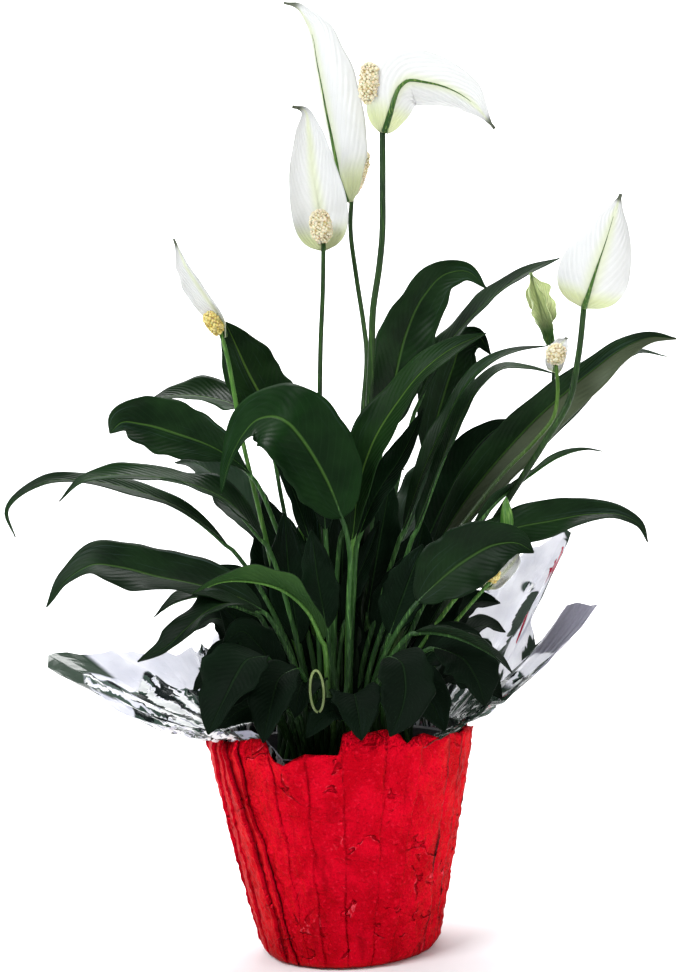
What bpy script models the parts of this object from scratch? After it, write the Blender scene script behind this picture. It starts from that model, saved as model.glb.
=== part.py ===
"""A potted peace lily: plant, soil, nursery pot, clear film collar and pleated foil cover.

Metres, +Z up. The origin is the centre of the foil cover's flat bottom, and the plant's front
looks along -Y. Lists of places along a stem are in millimetres and are scaled by MM.
"""

import bisect
import math
from collections import namedtuple

import bmesh
import bpy
from mathutils import Matrix, Vector, noise

MM = 0.001
GAP = 0.3 * MM

# The foil cover: a pleated cone with a flat bottom.
COVER_HEIGHT = 130 * MM
COVER_RIM_RADIUS = 82.2 * MM
COVER_FOOT_RADIUS = 54.5 * MM
COVER_BOTTOM_RADIUS = 48 * MM
COVER_THICKNESS = 0.9 * MM
COVER_FOOT_HEIGHT = 6 * MM
COVER_PLEATS = 20
PLEAT_DEPTH = 2.6 * MM
RIM_RUFFLE = 2.4 * MM
PLEAT_SHAPE = (0, 1, 0.35)
# Heights up the cover and how deep the pleats are there.
COVER_LEVELS = [(COVER_FOOT_HEIGHT, 0.5), (42 * MM, 1), (84 * MM, 1), (118 * MM, 1), (COVER_HEIGHT, 1)]
NOTCH_TURN = 236
NOTCH_DEPTH = 5 * MM
NOTCH_HALF_TURN = 7

# The nursery pot inside it.
POT_HEIGHT = 127 * MM
POT_FOOT_RADIUS = 46 * MM
POT_TOP_RADIUS = 71.5 * MM
POT_LIP_RADIUS = 74 * MM
POT_LIP_HEIGHT = 9 * MM
POT_WALL = 1.4 * MM
POT_SIDES = 32
DRAIN_RADIUS = 4 * MM
DRAIN_RING = 30 * MM
DRAINS = 4
DRAIN_SIDES = 10

# The clear film, tucked between the pot and the cover.
FILM_THICKNESS = 0.7 * MM
FILM_FOOT = 78 * MM
FILM_NECK_RADIUS = 74.45 * MM
FILM_NECK_HEIGHT = 135 * MM
FILM_SIDES = 48
FILM_RINGS = 4
FILM_CREASE = 2.5 * MM
FILM_CREASES = 14
FILM_TUCK = 2 * MM
FILM_LEAN = 1.15
FILM_FLARE = 1.3

# The soil and the plain holes that the stems stand in.
SOIL_TOP = 113 * MM
SOIL_UNEVEN = 1.2 * MM
SOIL_LUMPS = 60
STEM_DEPTH = 18 * MM
STEM_CLEAR = 0.35 * MM
HOLE_SIDES = 8
SOIL_CLEAR = 0.36 * MM
SOIL_RINGS = (0.72, 0.36)

# The stems and blades.
PETIOLE_RADIUS = 1.9 * MM
BLADE_THICKNESS = 0.9 * MM
RIB_DEPTH = 0.7 * MM
TIP_HALF_WIDTH = 0.7 * MM
PETIOLE_STATIONS = 3
BLADE_STATIONS = 11
LEAF_COLUMNS = 3
SPATHE_COLUMNS = 5
SPATHE_STATIONS = 9
SPATHE_THICKNESS = 0.8 * MM
STALK_RADIUS = 1.5 * MM
STALK_STATIONS = 13
SPADIX_SIDES = 10
SPADIX_RINGS = 9
SPADIX_BUMP = 0.13
STALK_TAPER = 0.3
BUD_STATIONS = 6
SPATHE_CLASP = 4 * MM
SPATHE_FOOT = 3 * MM
LEAF_CURL = 0.2
LEAF_FULLNESS = 0.85
EDGE_WAVES = (11, 12.5)
PETIOLE_TAPER = 0.25
SPATHE_FULLNESS = 0.8
SPATHE_WIDEST = 0.4
CURVE_STEPS = 16
MERGE = 0.01 * MM

LEAF_GREEN = (0.012, 0.05, 0.016)
BRIGHT_GREEN = (0.035, 0.13, 0.02)
STALK_GREEN = (0.05, 0.16, 0.025)
SPATHE_WHITE = (0.86, 0.88, 0.80)
BUD_GREEN = (0.35, 0.55, 0.12)
SPADIX_CREAM = (0.85, 0.76, 0.45)

CROWN_RADIUS = 6 * MM
CROWN_TOP = 120 * MM
CROWN_SIDES = 12

# Corners and dips of the film's edge: direction in degrees, reach and height in millimetres.
FILM_EDGE = [
    (-30, 92, 141), (-14, 118, 160), (-4, 164, 205), (6, 138, 182), (15, 142, 200), (24, 178, 246),
    (36, 120, 190), (60, 96, 158), (90, 112, 172), (118, 150, 200), (140, 112, 172), (158, 124, 178),
    (178, 183, 187), (194, 142, 160), (208, 114, 145), (226, 88, 138), (250, 80, 136), (290, 80, 136),
    (314, 83, 137),
]

Leaf = namedtuple("Leaf", "foot run blade half_width face fold twist wave widest green")


def leaf(foot, run, blade, half_width, face, fold=14, twist=0, wave=1.0, widest=0.42, green=LEAF_GREEN):
    """One leaf: foot (x, y) on the soil, places (x, y, z) from there to the tip, all in
    millimetres, the place where the blade starts, the blade's greatest half width, the way its
    upper face looks, its fold and twist in degrees and how far its edges wave."""
    return Leaf(foot, run, blade, half_width, face, fold, twist, wave, widest, green)


LEAVES = {
    "heart": leaf(
        (-8, -30), [(6, -42, 163), (10, -50, 217), (11, -56, 259), (5, -65, 282), (-4, -74, 305),
                    (-13, -79, 323), (-23, -77, 334), (-33, -71, 339), (-43, -66, 339),
                    (-52, -64, 331), (-61, -64, 293)],
        2, 27, (0.1, -1, 0.35), widest=0.36),
    "left_oval": leaf(
        (-16, 20), [(-10, 24, 157), (-16, 26, 215), (-19, 28, 267), (-24, 28, 316), (-38, 26, 348),
                    (-50, 21, 374), (-60, 12, 397)],
        3, 18, (0.3, -1, 0.4), widest=0.48, green=BRIGHT_GREEN),
    "left_glossy": leaf(
        (-22, 14), [(-15, 20, 157), (-23, 24, 216), (-30, 28, 281), (-39, 30, 325), (-55, 29, 346),
                    (-76, 27, 353), (-94, 25, 354), (-111, 22, 351)],
        3, 18, (0, -0.6, 1)),
    "left_broad": leaf(
        (-20, -4), [(-13, -8, 160), (-21, -11, 217), (-33, -14, 264), (-47, -17, 297), (-68, -20, 315),
                    (-90, -22, 325), (-111, -24, 332), (-124, -26, 333), (-131, -28, 326)],
        3, 21, (-0.1, -1, 0.35), widest=0.6),
    "left_long": leaf(
        (-26, -16), [(-20, -20, 162), (-27, -24, 212), (-40, -29, 256), (-59, -39, 282),
                     (-82, -47, 294), (-106, -51, 299), (-128, -53, 300), (-145, -54, 297),
                     (-159, -54, 285)],
        2, 16, (-0.2, -0.6, 1), widest=0.34),
    "left_ribbon": leaf(
        (-30, -8), [(-23, -10, 161), (-38, -14, 212), (-63, -18, 254), (-91, -22, 279),
                    (-109, -24, 288), (-143, -27, 298), (-174, -29, 298), (-196, -31, 281),
                    (-191, -32, 265)],
        2, 10, (0, -0.6, 1)),
    "left_low": leaf(
        (-24, -28), [(-20, -34, 158), (-29, -41, 192), (-42, -46, 219), (-63, -51, 234),
                     (-83, -54, 240), (-103, -56, 244), (-124, -58, 250), (-140, -59, 252),
                     (-155, -60, 243), (-168, -61, 224)],
        2, 18, (0, -0.6, 1)),
    "left_droop": leaf(
        (-34, -18), [(-27, -30, 154), (-35, -44, 187), (-46, -56, 214), (-61, -64, 222),
                     (-74, -70, 218), (-85, -74, 209), (-97, -77, 198), (-113, -80, 190)],
        2, 15, (-0.5, -0.6, 0.8), widest=0.36),
    "left_thin": leaf(
        (-38, -2), [(-29, -6, 155), (-37, -10, 187), (-51, -14, 215), (-69, -18, 225),
                    (-86, -21, 225), (-100, -23, 220), (-110, -24, 212)],
        2, 11, (0, -0.3, 1)),
    "front_arch": leaf(
        (-6, -44), [(-3, -52, 141), (-5, -62, 166), (-6, -72, 196), (-12, -79, 215), (-26, -86, 229),
                    (-45, -92, 235), (-61, -96, 235), (-78, -99, 228)],
        2, 13, (0, 0.15, 1), green=BRIGHT_GREEN),
    "front_dark": leaf(
        (-22, -44), [(-22, -56, 149), (-31, -68, 171), (-40, -79, 189), (-49, -89, 191),
                     (-57, -97, 181), (-65, -103, 167), (-72, -107, 150)],
        2, 20, (-0.5, -0.9, 0.4)),
    "front_short": leaf(
        (-14, -38), [(-13, -52, 151), (-16, -66, 167), (-22, -78, 181), (-31, -89, 179),
                     (-37, -97, 165), (-42, -102, 143)],
        2, 14, (-0.2, -1, 0.3)),
    "front_right": leaf(
        (12, -42), [(19, -56, 149), (25, -68, 170), (32, -78, 185), (38, -88, 184), (40, -95, 171),
                    (36, -100, 156), (29, -103, 143)],
        2, 17, (0.1, -1, 0.3)),
    "right_arch": leaf(
        (22, -38), [(23, -48, 157), (34, -60, 184), (48, -68, 198), (67, -76, 198), (84, -81, 190),
                    (95, -84, 181), (101, -86, 173)],
        2, 11, (0.1, 0, 1)),
    "right_droop": leaf(
        (30, -30), [(29, -38, 156), (44, -48, 177), (59, -56, 187), (75, -63, 182), (83, -68, 169),
                    (86, -71, 153)],
        2, 18, (0.3, -0.9, 0.6)),
    "right_broad": leaf(
        (20, -26), [(21, -36, 162), (35, -43, 192), (51, -47, 214), (71, -50, 230), (92, -52, 238),
                    (112, -54, 244), (128, -55, 243), (140, -56, 234)],
        2, 19, (0, -1, 0.3)),
    "right_wavy": leaf(
        (35, -12), [(29, -13, 153), (45, -15, 189), (65, -17, 223), (87, -19, 243), (112, -20, 255),
                    (137, -21, 259), (161, -22, 262), (181, -22, 260), (192, -22, 253),
                    (196, -22, 242)],
        2, 14, (0, -0.9, 0.6), wave=1.6),
    "right_strap": leaf(
        (24, 6), [(23, 6, 157), (43, 5, 200), (65, 4, 237), (88, 2, 264), (111, 0, 287),
                  (132, -2, 307), (153, -4, 326), (173, -6, 344), (191, -8, 359), (209, -9, 368),
                  (224, -10, 367)],
        2, 15, (-0.55, -0.6, 0.55), fold=40),
    "right_strap_back": leaf(
        (30, 18), [(27, 22, 155), (49, 27, 199), (73, 31, 240), (98, 34, 271), (123, 35, 295),
                   (148, 35, 318), (172, 34, 338), (191, 33, 355), (208, 32, 366), (227, 31, 362)],
        2, 12, (-0.6, -0.5, 0.7)),
    "right_narrow": leaf(
        (16, -2), [(14, -3, 158), (30, -5, 214), (46, -7, 257), (60, -9, 294), (76, -10, 325),
                   (90, -11, 347), (105, -11, 360), (122, -11, 366), (143, -11, 368)],
        2, 8, (-0.5, -0.5, 0.7)),
    "right_curl": leaf(
        (17, -14), [(18, -17, 160), (37, -22, 215), (53, -26, 257), (69, -29, 296), (84, -31, 326),
                    (97, -32, 344), (112, -32, 354), (127, -32, 353), (143, -32, 348)],
        2, 8, (-0.5, -0.5, 0.7)),
    "tall": leaf(
        (8, 14), [(9, 15, 157), (20, 17, 214), (30, 19, 278), (39, 20, 322), (48, 21, 356),
                  (58, 21, 386), (70, 20, 408), (84, 18, 421), (97, 16, 422), (109, 14, 410)],
        3, 20, (0.2, -1, 0.1), widest=0.37),
    "tall_narrow": leaf(
        (15, 21), [(13, 25, 155), (27, 30, 213), (43, 35, 277), (63, 38, 342), (76, 38, 370),
                   (92, 37, 389), (107, 35, 403), (124, 33, 415), (141, 31, 424), (160, 29, 430)],
        3, 11, (-0.6, -0.6, 0.6)),
    "tall_back": leaf(
        (12, 32), [(14, 38, 154), (33, 45, 212), (52, 50, 264), (67, 53, 305), (79, 54, 338),
                   (89, 53, 365), (96, 51, 380), (104, 49, 384), (113, 46, 371)],
        3, 18, (0.3, -1, 0.2)),
    "centre_bright": leaf(
        (2, -20), [(6, -24, 162), (10, -30, 217), (14, -33, 253), (19, -38, 287), (30, -43, 315),
                   (45, -48, 336), (60, -53, 352), (78, -54, 364), (100, -55, 372)],
        2, 16, (-0.5, -0.9, 0.4), green=BRIGHT_GREEN),
    "back_shade": leaf(
        (22, 30), [(21, 40, 153), (40, 50, 198), (60, 58, 240), (79, 63, 276), (96, 65, 304),
                   (112, 65, 320), (130, 63, 328)],
        2, 18, (0, -1, 0.3)),
    "right_sliver": leaf(
        (27, -4), [(25, -5, 158), (46, -6, 198), (67, -8, 231), (86, -10, 253), (108, -12, 276),
                   (127, -13, 289), (146, -13, 299), (162, -13, 302), (173, -13, 300)],
        3, 6, (-0.5, 0.3, 0.8)),
    "centre_dark": leaf(
        (6, -8), [(8, -14, 160), (13, -22, 216), (19, -26, 257), (32, -28, 284), (46, -29, 303),
                  (55, -30, 318), (62, -30, 331)],
        2, 10, (-0.5, -0.8, 0.3)),
}

# Leaves that share one crown, each clump in one piece: the crown's place, then its leaves.
CLUMPS = {
    "back": ((-3, 40), [
        leaf((-6, 41), [(-15, 48, 155), (-26, 68, 207), (-42, 88, 248), (-60, 108, 281),
                        (-79, 126, 303), (-97, 140, 315), (-113, 152, 316)],
             2, 18, (-0.2, -0.3, 1)),
        leaf((-4, 43), [(-2, 50, 153), (-3, 78, 212), (-6, 100, 264), (-11, 120, 300),
                        (-17, 140, 324), (-25, 158, 334), (-32, 176, 325)],
             2, 19, (0, -0.2, 1)),
        leaf((0, 42), [(15, 56, 152), (31, 82, 203), (48, 102, 245), (65, 122, 277),
                       (82, 142, 297), (95, 160, 303), (107, 176, 291)],
             2, 19, (0.2, -0.3, 1)),
        leaf((-2, 39), [(4, 58, 140), (7, 80, 160), (9, 100, 174), (9, 120, 179), (7, 140, 176),
                        (4, 158, 164)],
             2, 16, (0, 0.1, 1)),
    ]),
    "left": ((-36, 14), [
        leaf((-39, 13), [(-37, 14, 153), (-48, 20, 182), (-61, 22, 200), (-77, 22, 208),
                         (-93, 20, 199)],
             1, 14, (0, -0.7, 1)),
        leaf((-36, 12), [(-34, 12, 153), (-39, 15, 182), (-46, 18, 204), (-56, 20, 224),
                         (-69, 20, 235), (-79, 18, 239)],
             2, 12, (-0.5, -0.7, 0.8)),
        leaf((-38, 16), [(-41, 22, 147), (-52, 28, 160), (-65, 32, 168), (-79, 34, 167),
                         (-92, 34, 157)],
             1, 12, (0, -0.5, 1)),
        leaf((-35, 17), [(-34, 24, 152), (-44, 34, 180), (-52, 44, 203), (-62, 52, 216),
                         (-74, 58, 222), (-86, 62, 217)],
             1, 14, (0, -0.5, 1)),
    ]),
    "right": ((40, 22), [
        leaf((43, 22), [(50, 26, 147), (68, 32, 173), (86, 36, 190), (100, 38, 193),
                        (112, 38, 187)],
             1, 13, (0.1, -0.5, 1)),
        leaf((41, 19), [(48, 22, 150), (61, 24, 179), (77, 26, 200), (94, 26, 209),
                        (108, 24, 207)],
             1, 13, (0.1, -0.8, 1)),
        leaf((41, 24), [(46, 28, 149), (56, 34, 180), (67, 40, 207), (81, 44, 226), (94, 46, 238)],
             1, 12, (-0.3, -1, 0.3)),
        leaf((38, 25), [(44, 36, 152), (54, 50, 180), (66, 66, 204), (80, 82, 218), (96, 98, 220),
                        (110, 112, 210)],
             1, 15, (0, -0.4, 1)),
    ]),
    "centre": ((-10, -14), [
        leaf((-12, -15), [(-10, -18, 161), (-10, -21, 217), (-12, -23, 254), (-18, -24, 279),
                          (-25, -25, 298), (-33, -26, 312)],
             2, 8, (0.5, -0.9, 0.4)),
        leaf((-8, -12), [(-3, -13, 161), (2, -13, 216), (8, -12, 259), (16, -11, 283),
                         (29, -11, 294), (40, -11, 299), (49, -11, 295)],
             2, 9, (-0.4, -0.8, 0.6)),
        leaf((-10, -16), [(-5, -21, 161), (-2, -25, 217), (-2, -28, 260), (-2, -32, 290),
                          (-4, -34, 315), (-6, -36, 336)],
             2, 10, (0, -1, 0.1)),
        leaf((-7, -15), [(-1, -13, 160), (7, -9, 203), (15, -8, 228), (24, -8, 246),
                         (32, -9, 264)],
             1, 9, (-0.6, -0.9, 0.3)),
    ]),
}

Bloom = namedtuple("Bloom", "foot stalk spathe half_width face cup spadix")


def bloom(foot, stalk, spathe=None, half_width=0, face=(0, -1, 0), cup=70, spadix=None):
    """One bloom: foot (x, y) on the soil, places along the stalk and along the middle of the
    spathe, the spathe's greatest half width, the way its hollow looks and its cup in degrees.
    The spadix is its direction, length and radius. All sizes are in millimetres."""
    return Bloom(foot, stalk, spathe, half_width, face, cup, spadix)


BLOOMS = {
    "top": bloom(
        (0, 4), [(9, 6, 158), (19, 8, 240), (25, 10, 330), (30, 14, 376), (29, 16, 392),
                 (26, 18, 423), (24, 20, 457), (26, 21, 476)],
        [(26, 21, 478), (21, 19, 504), (13, 18, 531), (7, 18, 561), (0, 18, 593),
         (-5, 19, 602), (-12, 20, 605)],
        27, (0.75, 0.66, 0), 80, ((0.3, 0.25, 1), 27, 4.2)),
    "reflexed": bloom(
        (9, 3), [(12, 2, 158), (22, 0, 240), (28, -2, 321), (33, -4, 375), (35, -5, 397),
                 (40, -6, 422), (43, -7, 441), (45, -8, 472), (47, -9, 512)],
        [(48, -9, 514), (53, -10, 532), (62, -12, 543), (77, -15, 538), (90, -18, 532),
         (105, -21, 519), (116, -23, 503)],
        20, (-0.2, 0.35, 1), 60, ((-0.2, 0.05, 1), 38, 5.5)),
    "front": bloom(
        (-10, 0), [(0, -2, 159), (-3, -1, 241), (-3, 0, 311), (-1, 1, 352), (1, 1, 380),
                   (4, -4, 411), (6, -10, 440)],
        [(6, -10, 440), (8, -8, 464), (7, -8, 490), (7, -10, 512), (3, -14, 525), (-5, -18, 525)],
        20, (0, -1, 0), 60, ((-0.1, -0.2, 1), 20, 6)),
    "left": bloom(
        (-28, 6), [(-20, 6, 159), (-33, 6, 217), (-45, 5, 281), (-53, 4, 326), (-56, 2, 352),
                   (-59, 0, 374), (-62, -2, 388)],
        [(-62, -2, 388), (-70, -6, 402), (-76, -10, 416), (-82, -14, 432), (-87, -18, 446)],
        11, (-0.6, -0.6, -0.5), 60, ((-0.6, -0.4, 0.9), 15, 4.6)),
    "right": bloom(
        (36, -2), [(33, 0, 151), (57, 0, 187), (82, -2, 227), (101, -6, 256), (117, -18, 280),
                   (135, -32, 307), (150, -36, 330), (157, -37, 356), (163, -37, 391)],
        [(163, -37, 391), (166, -44, 407), (172, -48, 425), (179, -48, 441), (185, -46, 453)],
        23, (0.1, 1, 0.1), 60, ((0.1, 0.5, 1), 17, 4.4)),
    "small": bloom(
        (28, -16), [(28, -21, 160), (43, -25, 199), (61, -27, 232), (86, -28, 263), (110, -27, 290),
                    (131, -25, 309), (142, -25, 322), (145, -26, 335), (145, -27, 354)],
        [(145, -27, 354), (147, -22, 362), (151, -17, 368), (155, -13, 372)],
        7, (0, -1, 0.2), 50, ((0, -0.2, 1), 12, 5.6)),
    "low": bloom(
        (44, -12), [(40, -15, 152), (58, -18, 179), (81, -24, 206), (97, -28, 223)],
        [(97, -28, 223), (106, -22, 229), (114, -17, 235), (118, -14, 241)],
        7, (-0.3, -1, 0.3), 50, ((0.6, 0, 1), 9, 3.4)),
    "bud_open": bloom(
        (33, 8), [(32, 12, 156), (58, 14, 199), (84, 14, 239), (111, 13, 278), (135, 12, 310),
                  (147, 11, 339), (149, 10, 361), (147, 9, 377), (145, 8, 388)],
        [(145, 8, 388), (142, 6, 398), (139, 5, 408), (137, 4, 417)],
        11, (0.3, -1, 0.1), 75),
    "bud_closed": bloom(
        (38, -22), [(33, -26, 154), (49, -31, 181), (71, -35, 210), (94, -38, 235), (106, -39, 250)],
        spadix=((0.1, 0, 1), 24, 4)),
}


def clear_scene():
    """Removes whatever the scene holds, so that the file can be run again."""
    for thing in list(bpy.data.objects):
        bpy.data.objects.remove(thing, do_unlink=True)


def new_collection(name):
    """Adds a collection to the scene."""
    collection = bpy.data.collections.new(name)
    bpy.context.scene.collection.children.link(collection)
    return collection


def material(name, colour, roughness, metallic=0.0, alpha=1.0):
    """One plain Principled material."""
    made = bpy.data.materials.new(name)
    made.use_nodes = True
    shader = made.node_tree.nodes["Principled BSDF"]
    shader.inputs["Base Color"].default_value = (*colour, 1)
    shader.inputs["Roughness"].default_value = roughness
    shader.inputs["Metallic"].default_value = metallic
    shader.inputs["Alpha"].default_value = alpha
    return made


def new_object(name, data, collection, look):
    """Puts a mesh or a curve in the collection as one named piece."""
    data.materials.append(look)
    piece = bpy.data.objects.new(name, data)
    collection.objects.link(piece)
    return piece


def mesh_object(name, bm, collection, look):
    """Turns a finished bmesh into a piece with its faces pointing out."""
    bmesh.ops.recalc_face_normals(bm, faces=bm.faces)
    mesh = bpy.data.meshes.new(name)
    bm.to_mesh(mesh)
    bm.free()
    mesh.shade_smooth()
    mesh.set_sharp_from_angle(angle=math.radians(40))
    return new_object(name, mesh, collection, look)


def to_metres(places):
    """Vectors in metres from places in millimetres."""
    return [Vector(place) * MM for place in places]


def smooth_run(places, shares):
    """Places along a smooth curve through the given ones, at the given shares of its length."""
    spans = [(b - a).length for a, b in zip(places, places[1:])]
    slopes = [(b - a) / span for a, b, span in zip(places, places[1:], spans)]
    tangents = [slopes[0]]
    for before, after, one, other in zip(slopes, slopes[1:], spans, spans[1:]):
        tangents.append((before * other + after * one) / (one + other))
    tangents.append(slopes[-1])
    fine = [places[0]]
    for index, span in enumerate(spans):
        for step in range(1, CURVE_STEPS + 1):
            t = step / CURVE_STEPS
            fine.append(
                places[index] * (2 * t**3 - 3 * t**2 + 1)
                + places[index + 1] * (3 * t**2 - 2 * t**3)
                + tangents[index] * span * (t**3 - 2 * t**2 + t)
                + tangents[index + 1] * span * (t**3 - t**2))
    reached = [0.0]
    for a, b in zip(fine, fine[1:]):
        reached.append(reached[-1] + (b - a).length)
    picked = []
    for share in shares:
        target = reached[-1] * share
        index = min(max(bisect.bisect_left(reached, target) - 1, 0), len(fine) - 2)
        part = (target - reached[index]) / (reached[index + 1] - reached[index])
        picked.append(fine[index].lerp(fine[index + 1], part))
    return picked


def even_shares(start, end, count):
    """Evenly spaced shares from start to end, both included."""
    return [start + (end - start) * step / (count - 1) for step in range(count)]


def share_at(places, index):
    """The share of the run's length that lies before one of its places."""
    spans = [(b - a).length for a, b in zip(places, places[1:])]
    return sum(spans[:index]) / sum(spans)


def directions(places):
    """The way the run goes at each of its places."""
    ahead = places[1:] + places[-1:]
    behind = places[:1] + places[:-1]
    return [(b - a).normalized() for a, b in zip(behind, ahead)]


def sides_along(ways, face, middle):
    """Side vectors that turn with the run as little as they can, and that are square to the
    face's outlook at its middle."""
    sides = [None] * len(ways)
    sides[middle] = ways[middle].cross(Vector(face)).normalized()
    for index in range(middle + 1, len(ways)):
        turn = ways[index - 1].rotation_difference(ways[index])
        sides[index] = turn @ sides[index - 1]
    for index in range(middle - 1, -1, -1):
        turn = ways[index + 1].rotation_difference(ways[index])
        sides[index] = turn @ sides[index + 1]
    return sides


def outline(t, half_width, widest, fullness):
    """Half width of a blade at the share t of its length, pointed at both ends."""
    bend = math.log(0.5) / math.log(widest)
    return max(half_width * math.sin(math.pi * t**bend) ** fullness, TIP_HALF_WIDTH)


def across(columns):
    """Places across a blade, from -1 at one edge to 1 at the other."""
    return [2 * index / (columns - 1) - 1 for index in range(columns)]


def round_ring(centre, side, front, radius, columns):
    """The upper and lower row of a round stem's section."""
    spread = math.pi / 2 * (1 - 1 / columns)
    upper = []
    lower = []
    for u in across(columns):
        out = side * math.sin(u * spread) * radius
        rise = front * math.cos(u * spread) * radius
        upper.append(centre + out + rise)
        lower.append(centre + out - rise)
    return upper, lower


def blade_ring(centre, side, front, width, fold, curl, lift, thickness, rib, columns):
    """The upper and lower row of a blade's section: two wings, each folded up from the rib by
    fold and curling on by curl, with the edges lifted by the pair lift."""
    upper = []
    lower = []
    for u in across(columns):
        sign = math.copysign(1, u)
        lean = fold + curl * abs(u)
        out = (math.sin(lean) - math.sin(fold)) / curl
        rise = (math.cos(fold) - math.cos(lean)) / curl
        edge = lift[1] if u > 0 else lift[0]
        middle = centre + side * (sign * out * width) + front * rise * width
        middle += front * (edge * u * u)
        flat = front if u == 0 else front * math.cos(lean) - side * (sign * math.sin(lean))
        keel = rib if u == 0 else 0
        upper.append(middle + flat * (thickness / 2))
        lower.append(middle - flat * (thickness / 2 + keel))
    return upper, lower


def skin(name, rings, collection, look):
    """A closed solid from rows above and below, with both faces split alike."""
    bm = bmesh.new()
    above = [[bm.verts.new(place) for place in upper] for upper, _ in rings]
    below = [[bm.verts.new(place) for place in lower] for _, lower in rings]
    columns = len(above[0])
    for near, far in zip(range(len(rings)), range(1, len(rings))):
        for one, two in zip(range(columns), range(1, columns)):
            for rows, flip in ((above, False), (below, True)):
                a, b = rows[near][one], rows[near][two]
                c, d = rows[far][two], rows[far][one]
                for corners in ((a, b, c), (a, c, d)):
                    bm.faces.new(corners[::-1] if flip else corners)
        for edge, flip in ((0, False), (columns - 1, True)):
            a, b = above[near][edge], above[far][edge]
            c, d = below[far][edge], below[near][edge]
            for corners in ((a, b, c), (a, c, d)):
                bm.faces.new(corners[::-1] if flip else corners)
    for end in (0, -1):
        for one, two in zip(range(columns), range(1, columns)):
            a, b = above[end][one], above[end][two]
            c, d = below[end][two], below[end][one]
            for corners in ((a, b, c), (a, c, d)):
                bm.faces.new(corners)
    return mesh_object(name, bm, collection, look)


def stem_foot(foot):
    """The two ends of the upright length of a stem that stands in its hole."""
    x, y = foot
    low = SOIL_TOP - STEM_DEPTH
    high = SOIL_TOP + 3 * MM
    return Vector((x * MM, y * MM, low)), Vector((x * MM, y * MM, high))


def make_leaf(name, shape, collection, look, sunk=0):
    """One leaf: a round stalk that stands in the soil and widens to a folded, wavy blade. Its
    places run half way between the rib and the line of the edges, and its foot ends the distance
    sunk above the bottom of its hole."""
    low, high = stem_foot(shape.foot)
    low.z += sunk
    places = [high, *to_metres(shape.run)]
    start = share_at(places, shape.blade + 1)
    shares = even_shares(0, start, PETIOLE_STATIONS)[:-1] + even_shares(start, 1, BLADE_STATIONS)
    run = [low, *smooth_run(places, shares)]
    first = PETIOLE_STATIONS
    ways = directions(run)
    ways[0] = Vector((0, 0, 1))
    ways[1] = Vector((0, 0, 1))
    sides = sides_along(ways, shape.face, first + BLADE_STATIONS // 2)
    fold = math.radians(shape.fold)
    sag = (math.cos(fold) - math.cos(fold + LEAF_CURL)) / LEAF_CURL / 2
    rings = []
    for index, centre in enumerate(run):
        if index <= first:
            slim = 1 - PETIOLE_TAPER * index / first
            front = sides[index].cross(ways[index])
            rings.append(round_ring(centre, sides[index], front, PETIOLE_RADIUS * slim, LEAF_COLUMNS))
            continue
        t = (index - first) / (BLADE_STATIONS - 1)
        side = Matrix.Rotation(math.radians(shape.twist) * t, 3, ways[index]) @ sides[index]
        front = side.cross(ways[index])
        width = outline(t, shape.half_width * MM, shape.widest, LEAF_FULLNESS)
        swell = shape.wave * MM * math.sin(math.pi * t)
        lift = [swell * math.sin(waves * t + len(name) * waves) for waves in EDGE_WAVES]
        rib = centre - front * (sag * width)
        rings.append(blade_ring(rib, side, front, width, fold, LEAF_CURL, lift, BLADE_THICKNESS,
                                RIB_DEPTH * (1 - t), LEAF_COLUMNS))
    return skin(name, rings, collection, look)


def make_clump(name, crown, shapes, plant, look):
    """Several leaves grown from one crown, joined in one solid."""
    repeats = new_collection(name + "_leaves")
    for index, shape in enumerate(shapes):
        make_leaf(f"{name}_{index}", shape, repeats, look, CROWN_RADIUS)
    low = SOIL_TOP - STEM_DEPTH
    bm = bmesh.new()
    stand = Matrix.Translation((crown[0] * MM, crown[1] * MM, (low + CROWN_TOP) / 2))
    bmesh.ops.create_cone(bm, cap_ends=True, segments=CROWN_SIDES, radius1=CROWN_RADIUS,
                          radius2=CROWN_RADIUS * 0.8, depth=CROWN_TOP - low, matrix=stand)
    base = mesh_object(name, bm, plant, look)
    union = base.modifiers.new("grown together", "BOOLEAN")
    union.operation = "UNION"
    union.solver = "EXACT"
    union.operand_type = "COLLECTION"
    union.collection = repeats
    graph = bpy.context.evaluated_depsgraph_get()
    joined = bpy.data.meshes.new_from_object(base.evaluated_get(graph))
    base.modifiers.clear()
    base.data = joined
    for piece in list(repeats.objects):
        bpy.data.objects.remove(piece, do_unlink=True)
    bpy.data.collections.remove(repeats)
    return base


def make_stalk(name, shape, collection, look):
    """A bloom's slim round stalk, from its hole in the soil up to the spadix. A closed bud is
    the swollen end of its stalk."""
    low, high = stem_foot(shape.foot)
    places = [high, *to_metres(shape.stalk)]
    bud = 0
    if shape.spathe is None:
        direction, length, radius = shape.spadix
        places.append(places[-1] + Vector(direction).normalized() * length * MM)
        bud = length * MM / sum((b - a).length for a, b in zip(places, places[1:]))
    shares = even_shares(0, 1 - bud, STALK_STATIONS)
    if bud:
        shares += even_shares(1 - bud, 1, BUD_STATIONS)[1:]
    run = [low, *smooth_run(places, shares)]
    curve = bpy.data.curves.new(name, "CURVE")
    curve.dimensions = "3D"
    curve.bevel_depth = STALK_RADIUS
    curve.bevel_resolution = 1
    curve.use_fill_caps = True
    spline = curve.splines.new("POLY")
    spline.points.add(len(run) - 1)
    for index, place in enumerate(run):
        point = spline.points[index]
        point.co = (*place, 1)
        point.radius = 1 - STALK_TAPER * index / (len(run) - 1)
        share = shares[max(index - 1, 0)]
        if bud and share > 1 - bud:
            t = (share - 1 + bud) / bud
            point.radius = max(radius * MM / STALK_RADIUS * math.sin(math.pi * t**0.7) ** 0.6, 0.35)
    return new_object(name, curve, collection, look)


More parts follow.
